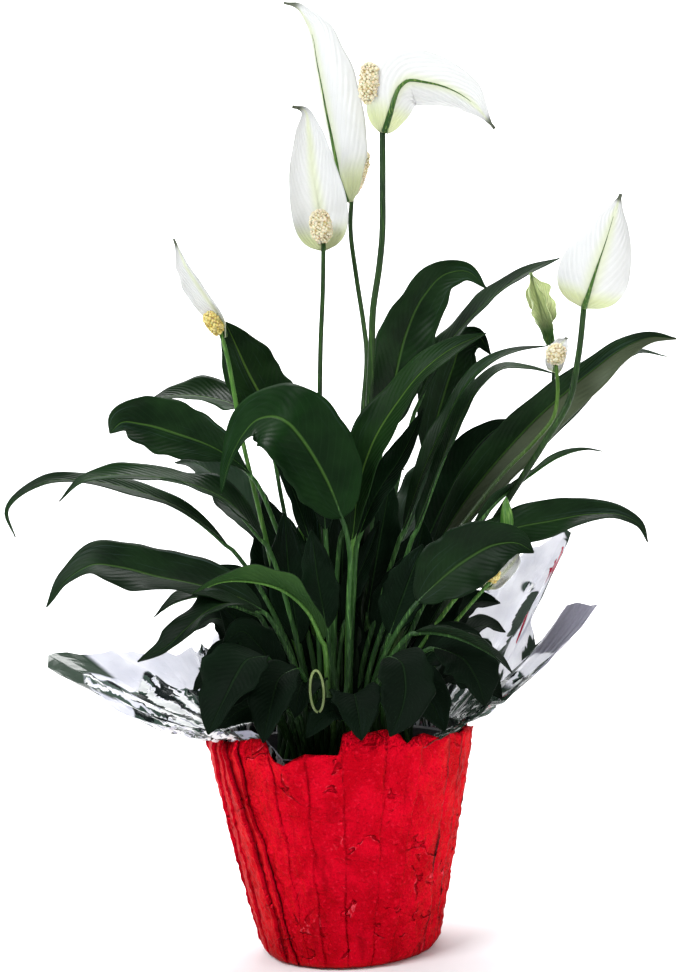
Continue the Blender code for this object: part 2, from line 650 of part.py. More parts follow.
def stalk_end(shape):
    """The top of a bloom's stalk and the way it goes there."""
    places = to_metres(shape.stalk)
    return places[-1], (places[-1] - places[-2]).normalized()


def make_spathe(name, shape, collection, look):
    """The hood of a bloom: a cupped blade whose foot clasps the stalk and whose back clears
    the spadix."""
    top, way = stalk_end(shape)
    places = to_metres(shape.spathe)
    places[0] = top - way * SPATHE_CLASP
    run = smooth_run(places, even_shares(0, 1, SPATHE_STATIONS))
    ways = directions(run)
    sides = sides_along(ways, shape.face, SPATHE_STATIONS // 2)
    room = shape.spadix[2] * MM + SPATHE_CLASP / 2 if shape.spadix else SPATHE_CLASP
    least = STALK_RADIUS * (1 - STALK_TAPER) + GAP * 2 + SPATHE_THICKNESS / 2
    rings = []
    for index, centre in enumerate(run):
        t = index / (SPATHE_STATIONS - 1)
        front = sides[index].cross(ways[index])
        rise = min(t / 0.12, 1)
        fade = 1 - min(max((t - 0.25) / 0.5, 0), 1)
        back = (least + (room - least) * rise) * fade
        width = outline(t, shape.half_width * MM, SPATHE_WIDEST, SPATHE_FULLNESS)
        width = max(width, SPATHE_FOOT * (1 - t))
        rings.append(blade_ring(centre - front * back, sides[index], front, width, 0,
                                math.radians(shape.cup), (0, 0), SPATHE_THICKNESS, 0, SPATHE_COLUMNS))
    return skin(name, rings, collection, look)


def make_spadix(name, shape, collection, look):
    """The knobbly spike of a bloom: a rounded rod with alternate points raised."""
    top, _ = stalk_end(shape)
    direction, length, radius = shape.spadix
    bm = bmesh.new()
    bmesh.ops.create_uvsphere(bm, u_segments=SPADIX_SIDES, v_segments=SPADIX_RINGS, radius=1)
    for vert in bm.verts:
        ring = round(math.acos(max(min(vert.co.z, 1), -1)) / math.pi * SPADIX_RINGS)
        turn = round(math.atan2(vert.co.y, vert.co.x) / math.tau * SPADIX_SIDES)
        bump = 1 + SPADIX_BUMP * (-1) ** (ring + turn)
        height = 1 - 2 * ring / SPADIX_RINGS
        reach = math.sqrt(max(1 - abs(height) ** 3, 0)) * bump * radius * MM
        flat = Vector((vert.co.x, vert.co.y, 0))
        flat = flat.normalized() if flat.length > 0.01 else Vector()
        vert.co = flat * reach + Vector((0, 0, (height + 1) / 2 * length * MM))
    axis = Vector(direction).normalized()
    stand = Matrix.Translation(top + axis * GAP) @ axis.to_track_quat("Z", "Y").to_matrix().to_4x4()
    bmesh.ops.transform(bm, matrix=stand, verts=bm.verts)
    return mesh_object(name, bm, collection, look)


def turned(name, profile, collection, look):
    """A turned solid from a profile of (radius, height) that runs down its outer side."""
    bm = bmesh.new()
    verts = [bm.verts.new((radius, 0, height)) for radius, height in profile]
    for a, b in zip(verts, verts[1:]):
        bm.edges.new((a, b))
    mesh = bpy.data.meshes.new(name)
    bm.to_mesh(mesh)
    bm.free()
    piece = new_object(name, mesh, collection, look)
    screw = piece.modifiers.new("turn", "SCREW")
    screw.steps = POT_SIDES
    screw.render_steps = POT_SIDES
    screw.use_merge_vertices = True
    screw.merge_threshold = MERGE
    return piece


def prisms(name, places, radius, low, high, sides, collection):
    """A cutter of upright prisms at the given places."""
    bm = bmesh.new()
    for place, reach in zip(places, radius):
        stand = Matrix.Translation((place[0], place[1], (low + high) / 2))
        bmesh.ops.create_cone(bm, cap_ends=True, segments=sides, radius1=reach, radius2=reach,
                              depth=high - low, matrix=stand)
    mesh = bpy.data.meshes.new(name)
    bm.to_mesh(mesh)
    bm.free()
    cutter = bpy.data.objects.new(name, mesh)
    collection.objects.link(cutter)
    cutter.hide_render = True
    cutter.display_type = "WIRE"
    return cutter


def cut(piece, cutter):
    """Takes the cutter out of the piece."""
    boolean = piece.modifiers.new("holes", "BOOLEAN")
    boolean.operation = "DIFFERENCE"
    boolean.solver = "EXACT"
    boolean.object = cutter


def make_pot(collection, cutters, look):
    """The nursery pot, with its lip and its drain holes."""
    foot = COVER_THICKNESS + GAP
    floor = foot + POT_WALL
    profile = [
        (0, floor), (POT_FOOT_RADIUS - POT_WALL, floor), (POT_TOP_RADIUS - POT_WALL, POT_HEIGHT),
        (POT_LIP_RADIUS, POT_HEIGHT), (POT_LIP_RADIUS, POT_HEIGHT - POT_LIP_HEIGHT),
        (POT_TOP_RADIUS, POT_HEIGHT - POT_LIP_HEIGHT), (POT_FOOT_RADIUS, foot), (0, foot)]
    pot = turned("nursery_pot", profile, collection, look)
    turns = [math.tau * (index + 0.5) / DRAINS for index in range(DRAINS)]
    places = [(DRAIN_RING * math.cos(turn), DRAIN_RING * math.sin(turn)) for turn in turns]
    cut(pot, prisms("drain_cutter", places, [DRAIN_RADIUS] * DRAINS, 0, floor * 2, DRAIN_SIDES,
                    cutters))
    return pot


def make_soil(collection, cutters, look):
    """The soil, a little uneven on top, with a plain hole for each stem."""
    low = COVER_THICKNESS + POT_WALL + 2 * GAP
    floor = low - GAP
    slope = (POT_TOP_RADIUS - POT_FOOT_RADIUS) / (POT_HEIGHT - floor)
    foot = POT_FOOT_RADIUS - POT_WALL - SOIL_CLEAR + slope * (low - floor)
    rim = foot + slope * (SOIL_TOP - low)
    rings = [(foot, low), (rim, SOIL_TOP), *((rim * share, SOIL_TOP) for share in SOIL_RINGS)]
    bm = bmesh.new()
    rows = []
    for reach, height in rings:
        row = []
        for side in range(POT_SIDES):
            turn = math.tau * side / POT_SIDES
            place = Vector((reach * math.cos(turn), reach * math.sin(turn), height))
            if height == SOIL_TOP and reach < rim:
                place.z += noise.noise(place * SOIL_LUMPS) * SOIL_UNEVEN
            row.append(bm.verts.new(place))
        rows.append(row)
    ends = [bm.verts.new((0, 0, low)), bm.verts.new((0, 0, SOIL_TOP))]
    for side in range(POT_SIDES):
        after = (side + 1) % POT_SIDES
        for inner, outer in zip(rows, rows[1:]):
            bm.faces.new((inner[side], inner[after], outer[after], outer[side]))
        bm.faces.new((rows[0][after], rows[0][side], ends[0]))
        bm.faces.new((rows[-1][side], rows[-1][after], ends[1]))
    bmesh.ops.triangulate(bm, faces=bm.faces)
    soil = mesh_object("soil", bm, collection, look)
    feet = [shape.foot for shape in [*LEAVES.values(), *BLOOMS.values()]]
    feet += [crown for crown, _ in CLUMPS.values()]
    reach = [PETIOLE_RADIUS] * len(LEAVES) + [STALK_RADIUS] * len(BLOOMS)
    reach += [CROWN_RADIUS] * len(CLUMPS)
    widths = [(radius + STEM_CLEAR) / math.cos(math.pi / HOLE_SIDES) for radius in reach]
    places = [(x * MM, y * MM) for x, y in feet]
    depth = SOIL_TOP - STEM_DEPTH - GAP
    cut(soil, prisms("stem_cutter", places, widths, depth, SOIL_TOP + 6 * MM, HOLE_SIDES, cutters))
    return soil


def solidify(piece, thickness, offset):
    """Gives an open surface its thickness."""
    shell = piece.modifiers.new("thickness", "SOLIDIFY")
    shell.thickness = thickness
    shell.offset = offset
    shell.use_even_offset = True
    return piece


def make_cover(collection, look):
    """The foil cover: a flat bottom, a rounded foot and pleated walls with a ruffled rim."""
    around = COVER_PLEATS * len(PLEAT_SHAPE)
    slope = (COVER_RIM_RADIUS - COVER_FOOT_RADIUS) / (COVER_HEIGHT - COVER_FOOT_HEIGHT)
    levels = [(COVER_BOTTOM_RADIUS, 0, 0), (COVER_BOTTOM_RADIUS + 4 * MM, 1.2 * MM, 0.1)]
    for height, depth in COVER_LEVELS:
        levels.append((COVER_FOOT_RADIUS + slope * (height - COVER_FOOT_HEIGHT), height, depth))
    bm = bmesh.new()
    rows = []
    for radius, height, depth in levels:
        row = []
        for index in range(around):
            turn = math.tau * index / around
            reach = radius - PLEAT_DEPTH * depth * PLEAT_SHAPE[index % len(PLEAT_SHAPE)]
            lift = 0
            if height == COVER_HEIGHT:
                lift = RIM_RUFFLE * 0.5 * (math.sin(7 * turn) + math.sin(11 * turn + 1))
                lift -= NOTCH_DEPTH * max(0, 1 - abs(math.degrees(turn) - NOTCH_TURN) / NOTCH_HALF_TURN)
            row.append(bm.verts.new((reach * math.cos(turn), reach * math.sin(turn), height + lift)))
        rows.append(row)
    centre = bm.verts.new((0, 0, 0))
    for index in range(around):
        after = (index + 1) % around
        bm.faces.new((rows[0][after], rows[0][index], centre))
        for lower, upper in zip(rows, rows[1:]):
            bm.faces.new((lower[index], lower[after], upper[after], upper[index]))
    bmesh.ops.triangulate(bm, faces=bm.faces)
    return solidify(mesh_object("foil_cover", bm, collection, look), COVER_THICKNESS, -1)


def film_edge(turn):
    """Reach and height of the film's edge in the direction turn, in degrees."""
    first = FILM_EDGE[0]
    stops = [*FILM_EDGE, (first[0] + 360, *first[1:])]
    turn = (turn - first[0]) % 360 + first[0]
    for (a, reach_a, height_a), (b, reach_b, height_b) in zip(stops, stops[1:]):
        if turn <= b:
            share = (turn - a) / (b - a)
            reach = reach_a + (reach_b - reach_a) * share
            return reach * MM, (height_a + (height_b - height_a) * share) * MM
    return first[1] * MM, first[2] * MM


def make_film(collection, look):
    """The clear film collar: tucked between pot and cover, then flaring to its corners."""
    middle = FILM_THICKNESS / 2
    slope = (POT_LIP_RADIUS - POT_FOOT_RADIUS) / POT_HEIGHT
    neck = FILM_NECK_RADIUS + middle
    tuck = POT_HEIGHT - POT_LIP_HEIGHT - FILM_TUCK
    bm = bmesh.new()
    rows = []
    for ring in range(FILM_RINGS + 3):
        row = []
        for index in range(FILM_SIDES):
            turn = math.tau * index / FILM_SIDES
            if ring == 0:
                reach = neck - (tuck - FILM_FOOT) * slope * FILM_LEAN
                height = FILM_FOOT
            elif ring <= 2:
                reach = neck
                height = tuck if ring == 1 else FILM_NECK_HEIGHT - 1 * MM
            else:
                share = (ring - 2) / FILM_RINGS
                edge, top = film_edge(math.degrees(turn))
                reach = neck + (edge - neck) * share
                height = FILM_NECK_HEIGHT + (top - FILM_NECK_HEIGHT) * share**FILM_FLARE
                height += FILM_CREASE * share * math.sin(turn * FILM_CREASES + 2 * share)
            row.append(bm.verts.new((reach * math.cos(turn), reach * math.sin(turn), height)))
        rows.append(row)
    for index in range(FILM_SIDES):
        after = (index + 1) % FILM_SIDES
        for lower, upper in zip(rows, rows[1:]):
            bm.faces.new((lower[index], lower[after], upper[after], upper[index]))
    bmesh.ops.triangulate(bm, faces=bm.faces)
    return solidify(mesh_object("film_collar", bm, collection, look), FILM_THICKNESS, 0)


def main():
    """Builds every piece in its place."""
    clear_scene()
    plant = new_collection("potted_peace_lily")
    cutters = new_collection("cutters")
    greens = {
        LEAF_GREEN: material("leaf_green", LEAF_GREEN, 0.35),
        BRIGHT_GREEN: material("leaf_bright", BRIGHT_GREEN, 0.4),
    }
    stalk = material("stalk_green", STALK_GREEN, 0.45)
    spathe = material("spathe_white", SPATHE_WHITE, 0.5)
    bud = material("bud_green", BUD_GREEN, 0.5)
    spadix = material("spadix_cream", SPADIX_CREAM, 0.7)
    make_cover(plant, material("red_foil", (0.6, 0.01, 0.02), 0.3, metallic=0.8))
    make_film(plant, material("clear_film", (0.85, 0.85, 0.9), 0.1, alpha=0.4))
    make_pot(plant, cutters, material("black_plastic", (0.02, 0.02, 0.02), 0.35))
    make_soil(plant, cutters, material("soil_brown", (0.05, 0.03, 0.02), 0.95))
    for name, shape in LEAVES.items():
        make_leaf("leaf_" + name, shape, plant, greens[shape.green])
    for name, (crown, shapes) in CLUMPS.items():
        make_clump("clump_" + name, crown, shapes, plant, greens[LEAF_GREEN])
    for name, shape in BLOOMS.items():
        make_stalk(f"stalk_{name}", shape, plant, bud if shape.spathe is None else stalk)
        if shape.spathe:
            make_spathe(f"spathe_{name}", shape, plant, spathe if shape.spadix else bud)
        if shape.spathe and shape.spadix:
            make_spadix(f"spadix_{name}", shape, plant, spadix)


main()
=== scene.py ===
# %% [markdown]
# A potted peace lily, dressed in Blender.
#
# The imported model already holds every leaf, stalk, bloom and pot at its real size, but as plain
# faceted solids. This lesson replaces each one with a finer piece on the same lines: pleated
# leaves with their veins, thin cupped spathes, knobbly spadices, a crinkled foil cover and a
# printed film collar.
# %% Load the model
import math
import random
from collections import namedtuple

import bmesh
import bpy
from mathutils import Matrix, Quaternion, Vector, noise


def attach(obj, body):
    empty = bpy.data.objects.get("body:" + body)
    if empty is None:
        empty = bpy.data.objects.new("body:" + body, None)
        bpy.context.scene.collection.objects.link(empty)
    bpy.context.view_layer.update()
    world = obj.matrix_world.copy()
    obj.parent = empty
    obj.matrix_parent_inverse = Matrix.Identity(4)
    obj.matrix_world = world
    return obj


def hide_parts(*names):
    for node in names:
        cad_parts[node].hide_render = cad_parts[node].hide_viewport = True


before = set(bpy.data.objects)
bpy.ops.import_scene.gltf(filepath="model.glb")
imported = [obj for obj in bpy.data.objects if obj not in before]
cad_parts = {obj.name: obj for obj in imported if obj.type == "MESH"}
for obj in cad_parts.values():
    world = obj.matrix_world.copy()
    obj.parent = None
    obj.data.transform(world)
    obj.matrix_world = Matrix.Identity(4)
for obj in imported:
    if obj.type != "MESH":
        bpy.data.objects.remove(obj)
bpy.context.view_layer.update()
MM = 0.001

# %% [markdown]
# The camera comes first, because every later choice is judged through it. It stands 0.9 m in
# front of the plant, a little above its middle, looks slightly upwards and is tilted by three
# degrees, as the photo's is.
# %% Camera
FOCAL_PIXELS = 1424
FRAME_HEIGHT = 972
SENSOR = 36
CAMERA_PLACE = (0.009, -0.9, 0.258)
CAMERA_TIP = math.radians(1.85)
CAMERA_ROLL = math.radians(3)

camera_data = bpy.data.cameras.new("camera")
camera_data.lens = SENSOR * FOCAL_PIXELS / FRAME_HEIGHT
camera_data.sensor_width = SENSOR
camera = bpy.data.objects.new("camera", camera_data)
bpy.context.scene.collection.objects.link(camera)
bpy.context.scene.camera = camera
stand = Matrix.Translation(CAMERA_PLACE)
tip_up = Matrix.Rotation(math.pi / 2 + CAMERA_TIP, 4, "X")
roll = Matrix.Rotation(-CAMERA_ROLL, 4, "Z")
camera.matrix_world = stand @ tip_up @ roll
print("camera lens in mm:", round(camera_data.lens, 2))

# %% [markdown]
# Leaves and stalks follow smooth curves through a few places. A cubic Hermite curve passes
# through every place, and its slopes are averaged from the neighbouring spans, so no handles
# have to be set by hand. The places are millimetres in the model's own frame.
# %% A smooth run through places
CURVE_STEPS = 16


def smooth_run(places, shares):
    """Places along a smooth curve through the given ones, at the given shares of its length."""
    spans = [(b - a).length for a, b in zip(places, places[1:])]
    slopes = [(b - a) / span for a, b, span in zip(places, places[1:], spans)]
    tangents = [slopes[0]]
    for before, after, one, other in zip(slopes, slopes[1:], spans, spans[1:]):
        tangents.append((before * other + after * one) / (one + other))
    tangents.append(slopes[-1])
    fine = [places[0]]
    for index, span in enumerate(spans):
        for step in range(1, CURVE_STEPS + 1):
            t = step / CURVE_STEPS
            fine.append(
                places[index] * (2 * t**3 - 3 * t**2 + 1)
                + places[index + 1] * (3 * t**2 - 2 * t**3)
                + tangents[index] * span * (t**3 - 2 * t**2 + t)
                + tangents[index + 1] * span * (t**3 - t**2))
    reached = [0.0]
    for a, b in zip(fine, fine[1:]):
        reached.append(reached[-1] + (b - a).length)
    picked = []
    index = 0
    for share in shares:
        while index < len(fine) - 2 and reached[index + 1] < reached[-1] * share:
            index += 1
        part = (reached[-1] * share - reached[index]) / (reached[index + 1] - reached[index])
        picked.append(fine[index].lerp(fine[index + 1], part))
    return picked


def even_shares(start, end, count):
    """Evenly spaced shares from start to end, both included."""
    return [start + (end - start) * step / (count - 1) for step in range(count)]


def share_at(places, index):
    """The share of the run's length that lies before one of its places."""
    spans = [(b - a).length for a, b in zip(places, places[1:])]
    return sum(spans[:index]) / sum(spans)


def to_metres(places):
    """Vectors in metres from places in millimetres."""
    return [Vector(place) * MM for place in places]


# %% [markdown]
# A leaf also needs to know which way it faces all along its curve. The side vector is set once
# in the middle of the blade, square to the way the leaf looks, and is then carried along the
# curve with the least turning, so the blade bends without twisting.
# %% Frames along a run
def directions(run):
    """The way the run goes at each of its places."""
    ahead = run[1:] + run[-1:]
    behind = run[:1] + run[:-1]
    return [(b - a).normalized() for a, b in zip(behind, ahead)]


def sides_along(ways, face, middle):
    """Side vectors that turn with the run as little as they can."""
    sides = [None] * len(ways)
    sides[middle] = ways[middle].cross(Vector(face)).normalized()
    for index in range(middle + 1, len(ways)):
        turn = ways[index - 1].rotation_difference(ways[index])
        sides[index] = turn @ sides[index - 1]
    for index in range(middle - 1, -1, -1):
        turn = ways[index + 1].rotation_difference(ways[index])
        sides[index] = turn @ sides[index + 1]
    return sides


# %% [markdown]
# Every long piece here starts as one flat grid. The operator makes the faces and the UV map, and
# the lesson only moves its points: across the grid becomes across the leaf or round the stem,
# and up the grid becomes along it. A solid sheet then gets its thickness with the solidify
# operator, which also tells the new lower side apart from the upper one.
# %% Grids laid along a run
SEAM_GAP = 1e-7


def new_sheet():
    """An empty bmesh with a UV map, ready for grids."""
    bm = bmesh.new()
    bm.loops.layers.uv.new("UVMap")
    return bm


def laid_grid(bm, across, along, place):
    """Adds a grid and moves each point to place(u, row), u from -1 to 1. Returns its faces."""
    known = set(bm.faces)
    made = bmesh.ops.create_grid(bm, x_segments=across, y_segments=along, size=1, calc_uvs=True)
    for vert in made["verts"]:
        row = round((vert.co.y + 1) / 2 * along)
        vert.co = place(vert.co.x, row)
    return [face for face in bm.faces if face not in known]


def add_tube(bm, run, radii, around, material_index=0):
    """A round stem along a run, closed at its seam and at both ends."""
    ways = directions(run)
    ways[0] = ways[1]
    sides = sides_along(ways, ways[len(ways) // 2].orthogonal(), len(ways) // 2)

    def place(u, row):
        front = sides[row].cross(ways[row])
        turn = math.pi * (u + 1)
        return run[row] + (sides[row] * math.cos(turn) + front * math.sin(turn)) * radii[row]

    faces = laid_grid(bm, around, len(run) - 1, place)
    verts = list({vert for face in faces for vert in face.verts})
    bmesh.ops.remove_doubles(bm, verts=verts, dist=SEAM_GAP)
    faces = [face for face in faces if face.is_valid]
    edges = {edge for face in faces for edge in face.edges if edge.is_boundary}
    caps = bmesh.ops.holes_fill(bm, edges=list(edges), sides=around)["faces"]
    for face in faces + caps:
        face.material_index = material_index


def finish_piece(bm, name, looks, smooth=True):
    """Turns a bmesh into a piece that rides on the model's one body."""
    mesh = bpy.data.meshes.new(name)
    for face in bm.faces:
        face.smooth = smooth
    bm.to_mesh(mesh)
    bm.free()
    for look in looks:
        mesh.materials.append(look)
    piece = bpy.data.objects.new(name, mesh)
    bpy.context.scene.collection.objects.link(piece)
    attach(piece, "root")
    return piece


# %% [markdown]
# A material is a short chain of nodes. These helpers keep the chains readable: one adds a node
# and sets its values, a few do sums on masks, one mixes two colours by a mask, and one makes a
# Principled material with its constant values on the shader's own sockets.
# %% Material helpers
def add_node(tree, kind, inputs=None, **values):
    """A node with its settings and its input values or links."""
    node = tree.nodes.new("ShaderNode" + kind)
    for name, value in values.items():
        setattr(node, name, value)
    for key, value in (inputs or {}).items():
        if isinstance(value, bpy.types.NodeSocket):
            tree.links.new(value, node.inputs[key])
        else:
            node.inputs[key].default_value = value
    return node


def math_node(tree, operation, *terms):
    """One sum, product or other arithmetic on numbers and sockets."""
    node = add_node(tree, "Math", dict(enumerate(terms)), operation=operation)
    return node.outputs["Value"]


def times(tree, one, other):
    """The product of two masks, or of a mask and a number."""
    return math_node(tree, "MULTIPLY", one, other)


def inverse(tree, mask):
    """1 where the mask is 0, and 0 where it is 1."""
    return math_node(tree, "SUBTRACT", 1, mask)


def mix_colours(tree, mask, one, two):
    """The first colour where the mask is 0, the second where it is 1."""
    node = add_node(tree, "Mix", {0: mask, 6: one, 7: two}, data_type="RGBA")
    return node.outputs[2]


def ramp(tree, value, low, high):
    """0 below low, 1 above high, with a soft step between."""
    node = add_node(tree, "MapRange", {0: value, 1: low, 2: high}, interpolation_type="SMOOTHSTEP")
    return node.outputs[0]


def speckle(tree, scale, detail=3, where=None):
    """Noise over the object's own coordinates."""
    if where is None:
        where = add_node(tree, "TexCoord").outputs["Object"]
    node = add_node(tree, "TexNoise", {"Vector": where, "Scale": scale, "Detail": detail})
    return node.outputs["Fac"]


def uv_parts(tree):
    """The UV map's two numbers, as the outputs X and Y."""
    return add_node(tree, "SeparateXYZ", {0: add_node(tree, "UVMap").outputs["UV"]}).outputs


def new_material(name, **constants):
    """A Principled material with its constants set. Returns it with its tree and shader."""
    made = bpy.data.materials.new(name)
    made.use_nodes = True
    shader = made.node_tree.nodes["Principled BSDF"]
    for key, value in constants.items():
        shader.inputs[key.replace("_", " ")].default_value = value
    return made, made.node_tree, shader


def bump(tree, shader, height, distance):
    """Raises the surface by a height from 0 to 1, times a distance in metres."""
    node = add_node(tree, "Bump", {"Height": height, "Distance": distance, "Strength": 1.0})
    tree.links.new(node.outputs["Normal"], shader.inputs["Normal"])


# %% [markdown]
# Peace lily leaves have one strong midrib and many fine side veins that leave it at a steep
# angle and arch towards the tip, each lying in a shallow pleat. The pattern follows the leaf, so
# it reads the UV map: across gives the distance from the midrib, and along gives the place. One
# node group makes the masks, and each material places it with its own number of veins.
# %% Leaf vein group
VEIN_BEND = 1.25

veins = bpy.data.node_groups.new("leaf_veins", "ShaderNodeTree")
for name in ("Count", "Slant"):
    veins.interface.new_socket(name=name, in_out="INPUT", socket_type="NodeSocketFloat")
for name in ("Midrib", "Vein", "Pleat", "Edge"):
    veins.interface.new_socket(name=name, in_out="OUTPUT", socket_type="NodeSocketFloat")
vein_in = veins.nodes.new("NodeGroupInput")
vein_out = veins.nodes.new("NodeGroupOutput")
uv = uv_parts(veins)
offset = math_node(veins, "ABSOLUTE", math_node(veins, "MULTIPLY_ADD", uv["X"], 2, -1))
reach = times(veins, math_node(veins, "POWER", offset, VEIN_BEND), vein_in.outputs["Slant"])
place = math_node(veins, "SUBTRACT", uv["Y"], reach)
place = math_node(veins, "MULTIPLY_ADD", speckle(veins, 55, 2), 0.02, place)
phase = times(veins, place, vein_in.outputs["Count"])
pleat = times(veins, math_node(veins, "PINGPONG", phase, 0.5), 2)
line = inverse(veins, ramp(veins, pleat, 0.0, 0.22))
line = times(veins, line, ramp(veins, offset, 0.03, 0.2))
fade = inverse(veins, ramp(veins, offset, 0.72, 1.0))
veins.links.new(times(veins, line, fade), vein_out.inputs["Vein"])
veins.links.new(times(veins, ramp(veins, pleat, 0.0, 1.0), fade), vein_out.inputs["Pleat"])
veins.links.new(inverse(veins, ramp(veins, offset, 0.015, 0.06)), vein_out.inputs["Midrib"])
veins.links.new(ramp(veins, offset, 0.93, 1.0), vein_out.inputs["Edge"])


def vein_masks(tree, count, slant):
    """Places the vein group in a material and returns its masks."""
    group = tree.nodes.new("ShaderNodeGroup")
    group.node_tree = veins
    group.inputs["Count"].default_value = count
    group.inputs["Slant"].default_value = slant
    return group.outputs


print("vein group nodes:", len(veins.nodes))

# %% [markdown]
# The leaves are waxy: nearly black-green, with a soft bluish sheen where they catch the light,
# which is painted into the colour as streaks. The upper side is dark and half glossy, the lower
# side paler and duller, and both are painted darkest low in the plant, as painted shade. A few
# younger leaves are yellower, and one broad strap leaf has a pale half. One function makes all
# of them from their own colours.
# %% Leaf materials
LEAF_SHEEN = (0.065, 0.105, 0.100, 1)
LEAF_SHADE = (0.001, 0.004, 0.0015, 1)
SHADED_BELOW = 0.15
LIT_ABOVE = 0.30


def leaf_look(name, dark, light, vein, midrib, roughness, shine=0.10, relief=0.10, pale_half=None):
    """A waxy leaf surface: two greens in soft patches, with veins, a midrib, streaks of painted sheen and
    painted shade low in the plant.
    """
    made, tree, shader = new_material(name, Specular_IOR_Level=shine)
    masks = vein_masks(tree, count=19, slant=0.24)
    patches = ramp(tree, speckle(tree, 28), 0.35, 0.68)
    height = add_node(tree, "SeparateXYZ", {0: add_node(tree, "TexCoord").outputs["Object"]})
    shade = inverse(tree, ramp(tree, height.outputs["Z"], SHADED_BELOW, LIT_ABOVE))
    colour = mix_colours(tree, patches, dark, light)
    drawn = add_node(tree, "Mapping", {"Vector": add_node(tree, "UVMap").outputs["UV"],
                                       "Scale": (28, 1.8, 1)})
    streaks = ramp(tree, speckle(tree, 1, 3, drawn.outputs["Vector"]), 0.56, 0.72)
    streaks = times(tree, streaks, ramp(tree, speckle(tree, 14, 1), 0.42, 0.62))
    # Painted sheen: bluish streaks along the leaf.
    colour = mix_colours(tree, times(tree, streaks, shine * 4), colour, LEAF_SHEEN)
    colour = mix_colours(tree, times(tree, masks["Vein"], 0.22), colour, vein)
    colour = mix_colours(tree, times(tree, masks["Edge"], 0.3), colour, vein)
    colour = mix_colours(tree, times(tree, masks["Midrib"], 0.8), colour, midrib)
    if pale_half:
        half = ramp(tree, uv_parts(tree)["X"], 0.51, 0.55)
        colour = mix_colours(tree, times(tree, half, 0.8), colour, pale_half)
    # Painted shade: darker low in the plant.
    colour = mix_colours(tree, times(tree, shade, 0.75), colour, LEAF_SHADE)
    tree.links.new(colour, shader.inputs["Base Color"])
    grain = speckle(tree, 900, 2)
    gloss = math_node(tree, "MULTIPLY_ADD", grain, 0.16, roughness - 0.08)
    gloss = math_node(tree, "MULTIPLY_ADD", patches, 0.08, gloss)
    tree.links.new(math_node(tree, "MULTIPLY_ADD", shade, 0.25, gloss), shader.inputs["Roughness"])
    height = math_node(tree, "MULTIPLY_ADD", masks["Pleat"], relief, times(tree, grain, 0.05))
    height = math_node(tree, "SUBTRACT", height, times(tree, masks["Midrib"], 0.5))
    bump(tree, shader, height, 0.0012)
    return made


LEAF_UPPER = leaf_look("leaf_upper", (0.0020, 0.0105, 0.0020, 1), (0.0068, 0.026, 0.0052, 1),
                       (0.010, 0.034, 0.009, 1), (0.045, 0.105, 0.020, 1), 0.36)
FLAT_UPPER = leaf_look("flat_leaf_upper", (0.0022, 0.0125, 0.0022, 1), (0.0060, 0.025, 0.0048, 1),
                       (0.010, 0.034, 0.009, 1), (0.045, 0.105, 0.020, 1), 0.42, shine=0.05)
STRAP_UPPER = leaf_look("strap_leaf_upper", (0.0020, 0.0105, 0.0020, 1), (0.0068, 0.026, 0.0052, 1),
                        (0.010, 0.034, 0.009, 1), (0.045, 0.105, 0.020, 1), 0.42,
                        pale_half=(0.085, 0.105, 0.060, 1))
LEAF_UNDER = leaf_look("leaf_under", (0.009, 0.028, 0.009, 1), (0.019, 0.046, 0.015, 1),
                       (0.028, 0.060, 0.020, 1), (0.060, 0.115, 0.030, 1), 0.5, relief=0.2)
YOUNG_UPPER = leaf_look("young_leaf_upper", (0.0020, 0.0115, 0.0017, 1), (0.0062, 0.026, 0.0034, 1),
                        (0.013, 0.042, 0.007, 1), (0.070, 0.145, 0.024, 1), 0.4, shine=0.08)
YOUNG_UNDER = leaf_look("young_leaf_under", (0.020, 0.064, 0.012, 1), (0.034, 0.090, 0.018, 1),
                        (0.055, 0.125, 0.026, 1), (0.100, 0.190, 0.045, 1), 0.5, relief=0.2)
# Darker copies of the leaf looks, as painted shade, for leaves that hang low or stand in the shade.
SHADED_UPPER = leaf_look("shaded_leaf_upper", (0.0015, 0.007, 0.002, 1), (0.004, 0.016, 0.005, 1),
                      (0.007, 0.022, 0.008, 1), (0.016, 0.046, 0.012, 1), 0.42, shine=0.06)
SHADED_UNDER = leaf_look("shaded_leaf_under", (0.003, 0.012, 0.004, 1), (0.008, 0.024, 0.008, 1),
                      (0.012, 0.032, 0.011, 1), (0.024, 0.060, 0.016, 1), 0.55, shine=0.06)
print("leaf materials:", len(bpy.data.materials))

# %% [markdown]
# Stems are mid green, a little lighter than the leaves and streaked along their length, and
# painted nearly black near the soil, as painted shade. The streaks come from noise that is
# stretched lengthwise, which a Mapping node does by squeezing the object's own Z.
# %% Stem material
STEM_SHADE = (0.002, 0.007, 0.0015, 1)
SHADE_FADE = 0.09


def stem_look(name, dark, light, streak, lit_from=0.22):
    """A smooth streaked stem, shaded up to a height in metres."""
    made, tree, shader = new_material(name, Specular_IOR_Level=0.22)
    where = add_node(tree, "TexCoord").outputs["Object"]
    drawn = add_node(tree, "Mapping", {"Vector": where, "Scale": (1, 1, 0.06)}).outputs["Vector"]
    streaks = speckle(tree, 900, 3, drawn)
    patches = ramp(tree, speckle(tree, 22), 0.35, 0.65)
    colour = mix_colours(tree, patches, dark, light)
    colour = mix_colours(tree, ramp(tree, streaks, 0.5, 0.75), colour, streak)
    height = add_node(tree, "SeparateXYZ", {0: where}).outputs["Z"]
    shade = inverse(tree, ramp(tree, height, lit_from - SHADE_FADE, lit_from))
    colour = mix_colours(tree, times(tree, shade, 0.8), colour, STEM_SHADE)
    tree.links.new(colour, shader.inputs["Base Color"])
    tree.links.new(math_node(tree, "MULTIPLY_ADD", streaks, 0.2, 0.32), shader.inputs["Roughness"])
    bump(tree, shader, streaks, 0.0004)
    return made


